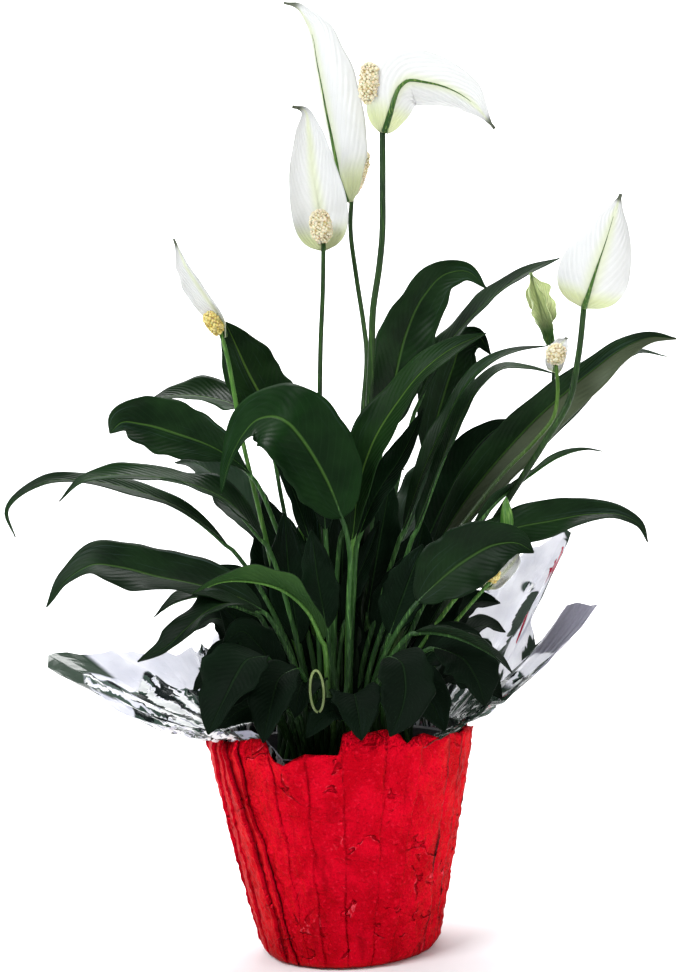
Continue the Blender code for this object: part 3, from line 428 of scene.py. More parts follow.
PETIOLE = stem_look("petiole", (0.008, 0.036, 0.006, 1), (0.026, 0.088, 0.015, 1), (0.085, 0.210, 0.048, 1))
YOUNG_PETIOLE = stem_look("young_petiole", (0.030, 0.095, 0.012, 1), (0.070, 0.180, 0.026, 1),
                          (0.130, 0.270, 0.055, 1))
BLOOM_STALK = stem_look("bloom_stalk", (0.005, 0.022, 0.003, 1), (0.013, 0.042, 0.005, 1),
                        (0.035, 0.095, 0.014, 1), lit_from=0.34)
PALE_STALK = stem_look("pale_stalk", (0.045, 0.110, 0.012, 1), (0.085, 0.185, 0.024, 1),
                       (0.180, 0.330, 0.075, 1), lit_from=0.36)
YOUNG_STALK = stem_look("young_stalk", (0.040, 0.125, 0.016, 1), (0.075, 0.200, 0.030, 1),
                        (0.180, 0.330, 0.075, 1))
DRY_SHEATH = stem_look("dry_sheath", (0.16, 0.22, 0.07, 1), (0.26, 0.34, 0.12, 1), (0.40, 0.48, 0.22, 1))
print("leaf and stem materials:", len(bpy.data.materials))

# %% [markdown]
# Now the leaves' own measurements, in millimetres and degrees: where the stalk stands in the soil,
# the places it passes on its way to the tip, the place where the blade begins, its half width and
# the way its upper face looks. Where a leaf differs from the others, it also says how far it is
# folded, how much its edge waves, at what share of its length it is widest, or that it is young.
# The places follow the model's, and two leaves lie a little nearer to the real ones.
# %% Leaf measurements
Leaf = namedtuple("Leaf", "foot run blade half_width face fold wave widest young",
                  defaults=(14, 1.0, 0.42, False))

LEAVES = {
    "heart": Leaf(
        (-8, -30), [(6, -42, 163), (10, -50, 217), (12, -54, 248), (9, -57, 266), (3, -64, 287),
                    (-5, -72, 304), (-12, -77, 315), (-18, -79, 322), (-25, -76, 327),
                    (-33, -69, 329), (-41, -64, 327), (-48, -62, 320), (-55, -62, 308),
                    (-62, -63, 284)],
        3, 26, (0.1, -1, 0.35), fold=9, wave=0.4, widest=0.33),
    "left_oval": Leaf(
        (-16, 20), [(-10, 24, 157), (-16, 26, 215), (-19, 28, 267), (-24, 28, 316), (-38, 26, 348),
                    (-50, 21, 374), (-60, 12, 397)],
        3, 22, (0.15, -1, 0.3), widest=0.48, young=True),
    "left_glossy": Leaf(
        (-22, 14), [(-15, 20, 157), (-23, 24, 216), (-30, 28, 281), (-39, 30, 325), (-55, 29, 346),
                    (-76, 27, 353), (-94, 25, 354), (-111, 22, 351)],
        3, 18, (0, -0.6, 1)),
    "left_broad": Leaf(
        (-20, -4), [(-13, -8, 160), (-21, -11, 217), (-33, -14, 264), (-47, -17, 297), (-68, -20, 315),
                    (-90, -22, 325), (-111, -24, 332), (-124, -26, 333), (-131, -28, 326)],
        3, 21, (-0.1, -1, 0.35), widest=0.6),
    "left_long": Leaf(
        (-26, -16), [(-20, -20, 162), (-27, -24, 212), (-40, -29, 256), (-59, -39, 282),
                     (-82, -47, 294), (-106, -51, 299), (-128, -53, 300), (-145, -54, 297),
                     (-159, -54, 285)],
        2, 14, (-0.2, -0.6, 1), widest=0.34),
    "left_ribbon": Leaf(
        (-30, -8), [(-23, -10, 161), (-38, -14, 212), (-63, -18, 254), (-91, -22, 279),
                    (-109, -24, 288), (-143, -27, 298), (-174, -29, 298), (-196, -31, 281),
                    (-191, -32, 265)],
        2, 7.5, (0, -0.6, 1)),
    "left_low": Leaf(
        (-24, -28), [(-20, -34, 158), (-29, -41, 190), (-42, -46, 214), (-63, -51, 228),
                     (-83, -54, 235), (-103, -56, 240), (-124, -58, 246), (-140, -59, 248),
                     (-155, -60, 240), (-168, -61, 223)],
        2, 20, (0, -0.7, 0.9)),
    "left_droop": Leaf(
        (-34, -18), [(-27, -30, 154), (-35, -44, 187), (-46, -56, 214), (-61, -64, 222),
                     (-74, -70, 218), (-85, -74, 209), (-97, -77, 198), (-113, -80, 190)],
        2, 15, (-0.5, -0.6, 0.8), widest=0.36),
    "left_thin": Leaf(
        (-38, -2), [(-29, -6, 155), (-37, -10, 187), (-51, -14, 215), (-69, -18, 225),
                    (-86, -21, 225), (-100, -23, 220), (-110, -24, 212)],
        2, 11, (0, -0.3, 1)),
    "front_arch": Leaf(
        (-6, -44), [(-3, -52, 141), (-5, -62, 166), (-6, -72, 196), (-12, -79, 215), (-26, -86, 229),
                    (-45, -92, 235), (-61, -96, 235), (-78, -99, 228)],
        2, 13, (0, 0.15, 1), young=True),
    "front_dark": Leaf(
        (-22, -44), [(-22, -56, 149), (-31, -68, 171), (-40, -79, 189), (-49, -89, 191),
                     (-57, -97, 181), (-65, -103, 167), (-72, -107, 150)],
        2, 20, (-0.5, -0.9, 0.4)),
    "front_short": Leaf(
        (-14, -38), [(-13, -52, 151), (-16, -66, 167), (-22, -78, 181), (-31, -89, 179),
                     (-37, -97, 165), (-42, -102, 143)],
        2, 14, (-0.2, -1, 0.3)),
    "front_right": Leaf(
        (12, -42), [(19, -56, 149), (25, -68, 170), (32, -78, 185), (38, -88, 184), (40, -95, 171),
                    (36, -100, 156), (29, -103, 143)],
        2, 17, (0.1, -1, 0.3)),
    "right_arch": Leaf(
        (22, -38), [(23, -48, 157), (34, -60, 184), (48, -68, 198), (67, -76, 198), (84, -81, 190),
                    (95, -84, 181), (101, -86, 173)],
        2, 11, (0.1, 0, 1)),
    "right_droop": Leaf(
        (30, -30), [(29, -38, 156), (44, -48, 177), (59, -56, 187), (75, -63, 182), (83, -68, 169),
                    (86, -71, 153)],
        2, 18, (0.3, -0.9, 0.6)),
    "right_broad": Leaf(
        (20, -26), [(21, -36, 162), (35, -43, 192), (51, -47, 214), (68, -50, 230), (84, -52, 240),
                    (99, -54, 246), (112, -55, 246), (121, -56, 240)],
        2, 21, (0, -1, 0.3)),
    "right_wavy": Leaf(
        (35, -12), [(29, -13, 153), (45, -15, 189), (65, -17, 223), (87, -19, 243), (112, -20, 255),
                    (137, -21, 259), (161, -22, 262), (181, -22, 260), (192, -22, 253),
                    (196, -22, 242)],
        2, 14, (0, -0.9, 0.6), wave=1.6),
    "right_strap": Leaf(
        (24, 6), [(23, 6, 157), (43, 5, 203), (66, 4, 243), (90, 2, 277), (112, 0, 301),
                  (133, -2, 321), (153, -4, 337), (173, -6, 352), (191, -8, 364), (209, -9, 370),
                  (224, -10, 368)],
        2, 17, (-0.2, -0.9, -0.3), fold=26),
    "right_strap_back": Leaf(
        (30, 18), [(27, 22, 155), (49, 27, 199), (73, 31, 240), (98, 34, 271), (123, 35, 295),
                   (148, 35, 318), (172, 34, 338), (191, 33, 355), (208, 32, 366), (227, 31, 362)],
        2, 12, (-0.6, -0.5, 0.7)),
    "right_narrow": Leaf(
        (16, -2), [(14, -3, 158), (30, -5, 214), (46, -7, 257), (60, -9, 294), (76, -10, 325),
                   (90, -11, 347), (105, -11, 360), (122, -11, 366), (143, -11, 368)],
        2, 8, (-0.5, -0.5, 0.7)),
    "right_curl": Leaf(
        (17, -14), [(18, -17, 160), (37, -22, 215), (53, -26, 257), (69, -29, 296), (84, -31, 326),
                    (97, -32, 344), (112, -32, 354), (127, -32, 353), (143, -32, 348)],
        2, 8, (-0.5, -0.5, 0.7)),
    "tall": Leaf(
        (8, 14), [(9, 15, 157), (20, 17, 214), (30, 19, 278), (39, 20, 322), (48, 21, 356),
                  (58, 21, 386), (70, 20, 408), (84, 18, 421), (97, 16, 422), (109, 14, 410)],
        3, 20, (0.2, -1, 0.1), widest=0.37),
    "tall_narrow": Leaf(
        (15, 21), [(13, 25, 155), (27, 30, 213), (43, 35, 277), (63, 38, 342), (76, 38, 370),
                   (92, 37, 389), (107, 35, 403), (124, 33, 415), (141, 31, 424), (160, 29, 430)],
        3, 11, (-0.6, -0.6, 0.6)),
    "tall_back": Leaf(
        (12, 32), [(14, 38, 154), (33, 45, 212), (52, 50, 264), (67, 53, 305), (79, 54, 338),
                   (89, 53, 365), (96, 51, 380), (104, 49, 384), (113, 46, 371)],
        3, 18, (0.3, -1, 0.2)),
    "centre_bright": Leaf(
        (2, -20), [(6, -24, 162), (10, -30, 217), (14, -33, 253), (19, -38, 287), (30, -43, 315),
                   (45, -48, 336), (60, -53, 352), (78, -54, 364), (100, -55, 372)],
        2, 16, (-0.5, -0.9, 0.4), young=True),
    "back_shade": Leaf(
        (22, 30), [(21, 40, 153), (40, 50, 198), (60, 58, 240), (79, 63, 276), (96, 65, 304),
                   (112, 65, 320), (130, 63, 328)],
        2, 18, (0, -1, 0.3)),
    "right_sliver": Leaf(
        (27, -4), [(25, -5, 158), (46, -6, 198), (67, -8, 231), (86, -10, 253), (108, -12, 276),
                   (127, -13, 289), (146, -13, 299), (162, -13, 302), (173, -13, 300)],
        3, 6, (-0.5, 0.3, 0.8)),
    "centre_dark": Leaf(
        (6, -8), [(8, -14, 160), (13, -22, 216), (19, -26, 257), (32, -28, 284), (46, -29, 303),
                  (55, -30, 318), (62, -30, 331)],
        2, 10, (-0.5, -0.8, 0.3)),
}

# Leaves that share one crown, each clump in one piece: the crown's place, then its leaves.
CLUMPS = {
    "back": ((-3, 40), [
        Leaf((-6, 41), [(-15, 48, 155), (-26, 68, 207), (-42, 88, 248), (-60, 108, 281),
                        (-79, 126, 303), (-97, 140, 315), (-113, 152, 316)],
             2, 18, (-0.2, -0.3, 1)),
        Leaf((-4, 43), [(-2, 50, 153), (-3, 78, 212), (-6, 100, 264), (-11, 120, 300),
                        (-17, 140, 324), (-25, 158, 334), (-32, 176, 325)],
             2, 19, (0, -0.2, 1)),
        Leaf((0, 42), [(15, 56, 152), (31, 82, 203), (48, 102, 245), (65, 122, 277),
                       (82, 142, 297), (95, 160, 303), (107, 176, 291)],
             2, 19, (0.2, -0.3, 1)),
        Leaf((-2, 39), [(4, 58, 140), (7, 80, 160), (9, 100, 174), (9, 120, 179), (7, 140, 176),
                        (4, 158, 164)],
             2, 16, (0, 0.1, 1)),
    ]),
    "left": ((-36, 14), [
        Leaf((-39, 13), [(-37, 14, 153), (-48, 20, 182), (-61, 22, 200), (-77, 22, 208),
                         (-93, 20, 199)],
             1, 14, (0, -0.7, 1)),
        Leaf((-36, 12), [(-34, 12, 153), (-39, 15, 182), (-46, 18, 204), (-56, 20, 224),
                         (-69, 20, 235), (-79, 18, 239)],
             2, 12, (-0.5, -0.7, 0.8)),
        Leaf((-38, 16), [(-41, 22, 147), (-52, 28, 160), (-65, 32, 168), (-79, 34, 167),
                         (-92, 34, 157)],
             1, 12, (0, -0.5, 1)),
        Leaf((-35, 17), [(-34, 24, 152), (-44, 34, 180), (-52, 44, 203), (-62, 52, 216),
                         (-74, 58, 222), (-86, 62, 217)],
             1, 14, (0, -0.5, 1)),
    ]),
    "right": ((40, 22), [
        Leaf((43, 22), [(50, 26, 147), (68, 32, 173), (86, 36, 190), (100, 38, 193),
                        (112, 38, 187)],
             1, 13, (0.1, -0.5, 1)),
        Leaf((41, 19), [(48, 22, 150), (61, 24, 179), (77, 26, 200), (94, 26, 209),
                        (108, 24, 207)],
             1, 13, (0.1, -0.8, 1)),
        Leaf((41, 24), [(46, 28, 149), (56, 34, 180), (67, 40, 207), (81, 44, 226), (94, 46, 238)],
             1, 12, (-0.3, -1, 0.3)),
        Leaf((38, 25), [(44, 36, 152), (54, 50, 180), (66, 66, 204), (80, 82, 218), (96, 98, 220),
                        (110, 112, 210)],
             1, 15, (0, -0.4, 1)),
    ]),
    "centre": ((-10, -14), [
        Leaf((-12, -15), [(-10, -18, 161), (-10, -21, 217), (-12, -23, 254), (-18, -24, 279),
                          (-25, -25, 298), (-33, -26, 312)],
             2, 8, (0.5, -0.9, 0.4)),
        Leaf((-8, -12), [(-3, -13, 161), (2, -13, 216), (8, -12, 259), (16, -11, 283),
                         (29, -11, 294), (40, -11, 299), (49, -11, 295)],
             2, 9, (-0.4, -0.8, 0.6)),
        Leaf((-10, -16), [(-5, -21, 161), (-2, -25, 217), (-2, -28, 260), (-2, -32, 290),
                          (-4, -34, 315), (-6, -36, 336)],
             2, 10, (0, -1, 0.1)),
        Leaf((-7, -15), [(-1, -13, 160), (7, -9, 203), (15, -8, 228), (24, -8, 246),
                         (32, -9, 264)],
             1, 9, (-0.6, -0.9, 0.3)),
    ]),
}
print("single leaves:", len(LEAVES))
print("leaves in clumps:", sum(len(shapes) for _, shapes in CLUMPS.values()))

# %% [markdown]
# A leaf is one blade on one stem. The blade is a grid folded up from its midrib, with edges that
# rise and fall and a shallow pleat at each side vein. The stem is a tube from the soil that runs
# on under the blade as its midrib and thins away before the tip, which is how the real leaf
# carries its own weight.
# %% Leaf builder
SOIL_TOP = 113 * MM
STEM_DEPTH = 18 * MM
STEM_CLEAR = 3 * MM
PETIOLE_RADIUS = 1.9 * MM
PETIOLE_TAPER = 0.25
MIDRIB_GIRTH = 0.72
MIDRIB_TAPER = 0.8
STEM_ROWS = 30
STEM_SIDES = 10

BLADE_THICKNESS = 0.55 * MM
BLADE_COLUMNS = 16
BLADE_ROWS = 64
TIP_HALF_WIDTH = 0.35 * MM
LEAF_CURL = 0.2
LEAF_FULLNESS = 0.85
BLADE_ROLL = 0.35
ROLL_WAVES = 2.5
EDGE_WAVES = (11, 12.5)
EDGE_SWELL = 0.3
SWELL_WAVES = 6
EDGE_WANDER = 0.16
WANDER_WAVES = 9
SIDE_VEINS = 15
VEIN_SLANT = 0.2
PLEAT_HEIGHT = 0.12 * MM
PLEATED_FROM = 14 * MM


def outline(t, half_width, widest, fullness):
    """Half width of a blade at the share t of its length, pointed at both ends."""
    bend = math.log(0.5) / math.log(widest)
    return max(half_width * math.sin(math.pi * min(t, 1)**bend) ** fullness, TIP_HALF_WIDTH)


def stem_places(foot, run):
    """A place just above the soil and the places of a run after it, in metres."""
    return [Vector((foot[0] * MM, foot[1] * MM, SOIL_TOP + STEM_CLEAR)), *to_metres(run)]


def stem_end(places, sunk=0):
    """The stem's lower end, in the soil below its first place."""
    return Vector((places[0].x, places[0].y, SOIL_TOP - STEM_DEPTH + sunk))


def add_leaf(bm, name, shape, sunk=0):
    """Adds one leaf's blade and stem to a mesh."""
    places = stem_places(shape.foot, shape.run)
    start = share_at(places, shape.blade + 1)
    blade_run = smooth_run(places, even_shares(start, 1, BLADE_ROWS + 1))
    ways = directions(blade_run)
    sides = sides_along(ways, shape.face, BLADE_ROWS // 2)
    fronts = [side.cross(way) for side, way in zip(sides, ways)]
    fold = math.radians(shape.fold)
    sag = (math.cos(fold) - math.cos(fold + LEAF_CURL)) / LEAF_CURL / 2
    widths = [outline(row / BLADE_ROWS, shape.half_width * MM, shape.widest, LEAF_FULLNESS)
              for row in range(BLADE_ROWS + 1)]
    seed = len(name) * 7.3 + shape.half_width + shape.foot[0]
    for row in range(BLADE_ROWS + 1):
        turn = noise.noise(Vector((row / BLADE_ROWS * ROLL_WAVES, seed, 0))) * BLADE_ROLL
        roll = Quaternion(ways[row], turn)
        sides[row] = roll @ sides[row]
        fronts[row] = roll @ fronts[row]

    def place(u, row):
        t = row / BLADE_ROWS
        width = widths[row]
        middle = math.sin(math.pi * t)
        lean = fold + LEAF_CURL * abs(u)
        out = (math.sin(lean) - math.sin(fold)) / LEAF_CURL * width
        rise = ((math.cos(fold) - math.cos(lean)) / LEAF_CURL - sag) * width
        waves = EDGE_WAVES[1] if u > 0 else EDGE_WAVES[0]
        swell = shape.wave * MM * middle * math.sin(waves * t + len(name) * waves)
        vein = (t - abs(u) ** VEIN_BEND * VEIN_SLANT) * SIDE_VEINS
        pleat = abs(vein % 1 - 0.5) * 2
        deep = math.sin(math.pi * min(abs(u) * 1.15, 1)) * min(width / PLEATED_FROM, 1)
        swell += noise.noise(Vector((t * SWELL_WAVES, seed, 4 + u))) * width * EDGE_SWELL * middle
        wander = noise.noise(Vector((t * WANDER_WAVES, seed, 9 + math.copysign(2, u))))
        out *= 1 + wander * EDGE_WANDER * abs(u)
        ruffle = swell * u * u - pleat * deep * PLEAT_HEIGHT * middle ** 0.5
        return blade_run[row] + sides[row] * math.copysign(out, u) + fronts[row] * (rise + ruffle)

    upper = laid_grid(bm, BLADE_COLUMNS, BLADE_ROWS, place)
    bm.normal_update()
    lower = bmesh.ops.solidify(bm, geom=upper, thickness=BLADE_THICKNESS)["geom"]
    for item in lower:
        if isinstance(item, bmesh.types.BMFace):
            item.material_index = 1
    stem = [stem_end(places, sunk), *smooth_run(places, even_shares(0, start, STEM_ROWS))[:-1]]
    radii = [PETIOLE_RADIUS * (1 - PETIOLE_TAPER * row / STEM_ROWS) for row in range(len(stem))]
    for row in range(0, BLADE_ROWS - 4, 2):
        radius = PETIOLE_RADIUS * MIDRIB_GIRTH * (1 - row / BLADE_ROWS) ** MIDRIB_TAPER
        stem.append(blade_run[row] - fronts[row] * (sag * widths[row] + BLADE_THICKNESS + radius * 0.5))
        radii.append(radius)
    add_tube(bm, stem, radii, STEM_SIDES, material_index=2)


# %% [markdown]
# With the builder ready, each single leaf becomes one piece that stands for the solid of the
# same name. Its looks are an upper side, a lower side and a stalk. Most leaves share one set, and
# the leaves that hang low or stand in the shade get a darker set, as painted shade.
# %% Single leaves
GREEN_LOOKS = [LEAF_UPPER, LEAF_UNDER, PETIOLE]
YOUNG_LOOKS = [YOUNG_UPPER, YOUNG_UNDER, YOUNG_PETIOLE]
SHADED_LOOKS = [SHADED_UPPER, SHADED_UNDER, PETIOLE]
# Leaves that get the darker looks, as painted shade.
SHADED_LEAVES = ("front_dark", "front_short", "front_right", "right_droop", "back_shade", "centre_dark")
LEAF_LOOKS = {name: SHADED_LOOKS for name in SHADED_LEAVES}
LEAF_LOOKS["heart"] = [FLAT_UPPER, LEAF_UNDER, PETIOLE]
LEAF_LOOKS["right_strap"] = [STRAP_UPPER, LEAF_UNDER, PETIOLE]

for name, shape in LEAVES.items():
    bm = new_sheet()
    add_leaf(bm, "leaf_" + name, shape)
    looks = YOUNG_LOOKS if shape.young else LEAF_LOOKS.get(name, GREEN_LOOKS)
    piece = finish_piece(bm, name + "_blade", looks)
    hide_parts("leaf_" + name)

# %% [markdown]
# The clumps are several leaves from one crown. The crown is a short thick stub at the soil that
# hides where the stems meet, and it is a tube as well.
# %% Clumps of leaves
CROWN_RADIUS = 6 * MM
CROWN_SIDES = 16
# The crown's outline: height above its foot in millimetres, and share of its radius.
CROWN = [(0, 1), (8, 1), (16, 0.95), (20, 0.85), (23, 0.7), (25, 0.45), (26, 0.1)]

for name, (crown, shapes) in CLUMPS.items():
    bm = new_sheet()
    for index, shape in enumerate(shapes):
        add_leaf(bm, f"clump_{name}_{index}", shape, CROWN_RADIUS)
    stub = [Vector((crown[0] * MM, crown[1] * MM, SOIL_TOP - STEM_DEPTH + height * MM))
            for height, _ in CROWN]
    add_tube(bm, stub, [CROWN_RADIUS * share for _, share in CROWN], CROWN_SIDES, material_index=2)
    # The clumps get the darker looks, as painted shade.
    piece = finish_piece(bm, name + "_clump", SHADED_LOOKS)
    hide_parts("clump_" + name)
print("clumps:", len(CLUMPS))

# %% [markdown]
# Short leaves fill the heart of the plant, between the stems and over the pot's rim. They
# are older leaves, so they sit low, and their dark colour is painted shade. They use the same
# builder and share one mesh.
# %% Low leaves
LOW_LEAVES = [
    Leaf((-14, -6), [(-16, -8, 150), (-22, -12, 190), (-26, -16, 235), (-27, -18, 272)],
         1, 14, (0, -1, 0.2)),
    Leaf((0, 4), [(2, 4, 150), (4, 2, 195), (8, 0, 240), (12, -2, 284)], 1, 15, (0.2, -1, 0.2)),
    Leaf((14, 0), [(20, -2, 150), (30, -6, 185), (40, -10, 218), (48, -14, 242)], 1, 15, (-0.2, -1, 0.3)),
    Leaf((-24, 0), [(-32, -4, 150), (-44, -8, 180), (-58, -12, 205), (-70, -16, 217)], 1, 15, (0, -1, 0.5)),
    Leaf((26, -14), [(34, -22, 148), (46, -32, 170), (60, -40, 186), (78, -46, 190), (90, -50, 180)],
         1, 15, (0, -0.8, 0.7)),
    Leaf((-10, -30), [(-12, -40, 145), (-14, -52, 165), (-16, -64, 176), (-20, -76, 172), (-24, -86, 154)],
         1, 13, (0, -1, 0.4)),
    Leaf((4, -36), [(6, -46, 145), (8, -58, 160), (10, -70, 166), (12, -82, 158), (13, -91, 140)],
         1, 15, (0.1, -1, 0.4)),
    Leaf((18, -32), [(22, -42, 146), (30, -54, 162), (42, -66, 168), (54, -75, 158), (61, -81, 141)],
         1, 16, (0.2, -1, 0.4)),
    Leaf((8, 20), [(12, 22, 155), (22, 24, 205), (32, 26, 250), (42, 26, 292)], 1, 15, (0, -1, 0.1)),
    Leaf((-8, 14), [(-12, 14, 155), (-20, 16, 205), (-30, 18, 250), (-42, 20, 284)], 1, 16, (0.1, -1, 0.1)),
    Leaf((30, 4), [(40, 6, 152), (54, 8, 185), (70, 10, 212), (86, 10, 232)], 1, 16, (-0.2, -1, 0.3)),
    Leaf((36, -6), [(46, -12, 146), (60, -20, 162), (76, -26, 170), (90, -30, 165), (100, -32, 152)],
         1, 14, (0.1, -0.8, 0.7)),
    Leaf((2, -20), [(0, -28, 160), (-4, -36, 200), (-8, -44, 236), (-10, -50, 260)], 1, 12, (0.3, -1, 0.1)),
    Leaf((16, -18), [(24, -26, 158), (34, -34, 195), (46, -40, 226), (56, -44, 248)],
         1, 14, (-0.3, -1, 0.2)),
    Leaf((-14, 26), [(-20, 30, 150), (-30, 34, 190), (-38, 36, 235), (-44, 36, 272)], 1, 20, (0, -1, 0.1)),
    Leaf((-2, 30), [(-2, 34, 150), (-4, 38, 195), (-6, 40, 245), (-8, 40, 292)], 1, 21, (0, -1, 0)),
    Leaf((10, 30), [(14, 34, 150), (20, 38, 195), (24, 40, 245), (26, 40, 286)], 1, 20, (0, -1, 0)),
    Leaf((24, 24), [(32, 28, 150), (44, 32, 190), (54, 34, 230), (62, 34, 262)], 1, 21, (0, -1, 0.1)),
    Leaf((-26, 20), [(-36, 24, 148), (-50, 26, 178), (-62, 28, 208), (-70, 28, 232)], 1, 18, (0, -1, 0.2)),
    Leaf((-18, 34), [(-22, 38, 132), (-28, 42, 160), (-32, 44, 205), (-34, 44, 245)], 1, 22, (0, -1, 0)),
    Leaf((-4, 36), [(-6, 42, 132), (-10, 46, 160), (-14, 48, 210), (-16, 48, 256)], 1, 23, (0, -1, 0)),
    Leaf((6, 36), [(8, 42, 132), (10, 46, 160), (12, 48, 205), (12, 48, 250)], 1, 23, (0, -1, 0)),
    Leaf((20, 30), [(28, 36, 132), (36, 42, 160), (42, 46, 205), (46, 46, 240)], 1, 22, (0, -1, 0)),
    Leaf((-2, -2), [(0, 0, 130), (2, 0, 150), (4, 0, 185), (4, 0, 222)], 1, 19, (0, -1, 0)),
    Leaf((-12, 4), [(-14, 4, 130), (-20, 4, 150), (-26, 4, 180), (-32, 4, 212)], 1, 19, (0, -1, 0.1)),
    Leaf((12, 6), [(16, 6, 130), (24, 6, 150), (32, 6, 180), (40, 6, 210)], 1, 19, (0, -1, 0.1)),
    Leaf((-20, -34), [(-26, -44, 140), (-34, -54, 172), (-44, -60, 194), (-54, -64, 203), (-65, -66, 196)],
         1, 12, (0, -1, 0.5)),
    Leaf((-26, -24), [(-32, -34, 142), (-42, -44, 166), (-54, -50, 184), (-66, -54, 190), (-79, -56, 182)],
         1, 11, (-0.2, -1, 0.5)),
    Leaf((-18, -40), [(-22, -52, 138), (-28, -64, 160), (-38, -74, 172), (-50, -80, 172), (-60, -84, 162)],
         1, 11, (0, -0.8, 0.7)),
    Leaf((-28, -12), [(-36, -20, 142), (-48, -30, 162), (-60, -38, 176), (-73, -42, 178), (-86, -44, 168)],
         1, 11, (0.2, -0.8, 0.7)),
    Leaf((-14, -36), [(-20, -48, 138), (-30, -60, 156), (-42, -70, 162), (-56, -78, 159), (-69, -84, 150)],
         1, 13, (0, -1, 0.4)),
    Leaf((4, -40), [(6, -54, 134), (4, -66, 150), (-2, -76, 156), (-10, -84, 152), (-18, -90, 143)],
         1, 9, (0.1, -1, 0.5)),
]

bm = new_sheet()
for index, shape in enumerate(LOW_LEAVES):
    add_leaf(bm, f"low_leaf_{index}", shape)
finish_piece(bm, "low_leaves", SHADED_LOOKS)
print("low leaves:", len(LOW_LEAVES))

# %% [markdown]
# A thin pale strip of an old leaf sheath has sprung into a loop in front of the stems. It is a
# tube along most of an upright ellipse that leans a little.
# %% Sheath loop
LOOP_CENTRE = Vector((-10.5, -98, 169.5)) * MM
LOOP_HALF_WIDTH = 3.8 * MM
LOOP_HALF_HEIGHT = 12 * MM
LOOP_LEAN = -3 * MM
LOOP_RADIUS = 0.7 * MM
LOOP_START = -80
LOOP_SWEEP = 348
LOOP_STEPS = 40

loop = []
for step in range(LOOP_STEPS + 1):
    turn = math.radians(LOOP_START + LOOP_SWEEP * step / LOOP_STEPS)
    loop.append(LOOP_CENTRE + Vector((math.cos(turn) * LOOP_HALF_WIDTH, math.sin(turn) * LOOP_LEAN,
                                      math.sin(turn) * LOOP_HALF_HEIGHT)))
bm = new_sheet()
add_tube(bm, loop, [LOOP_RADIUS] * len(loop), STEM_SIDES)
finish_piece(bm, "sheath_loop", [DRY_SHEATH])
print("loop height in mm:", round(2 * LOOP_HALF_HEIGHT / MM))

# %% [markdown]
# Each bloom is a stalk, a spadix and a spathe, the hood-like leaf behind it. The measurements
# work as the leaves' do: places up the stalk, places along the spathe's middle, its half width,
# the way its hollow looks, how far it cups, and the spadix as a direction, a length and a radius,
# with the way from the stalk's top to its foot where that is long. Last comes the share of its
# length at which the spathe is widest.
# %% Bloom measurements
Bloom = namedtuple("Bloom", "foot stalk spathe half_width face cup spadix widest",
                   defaults=(None, 0, (0, -1, 0), 70, None, 0.4))

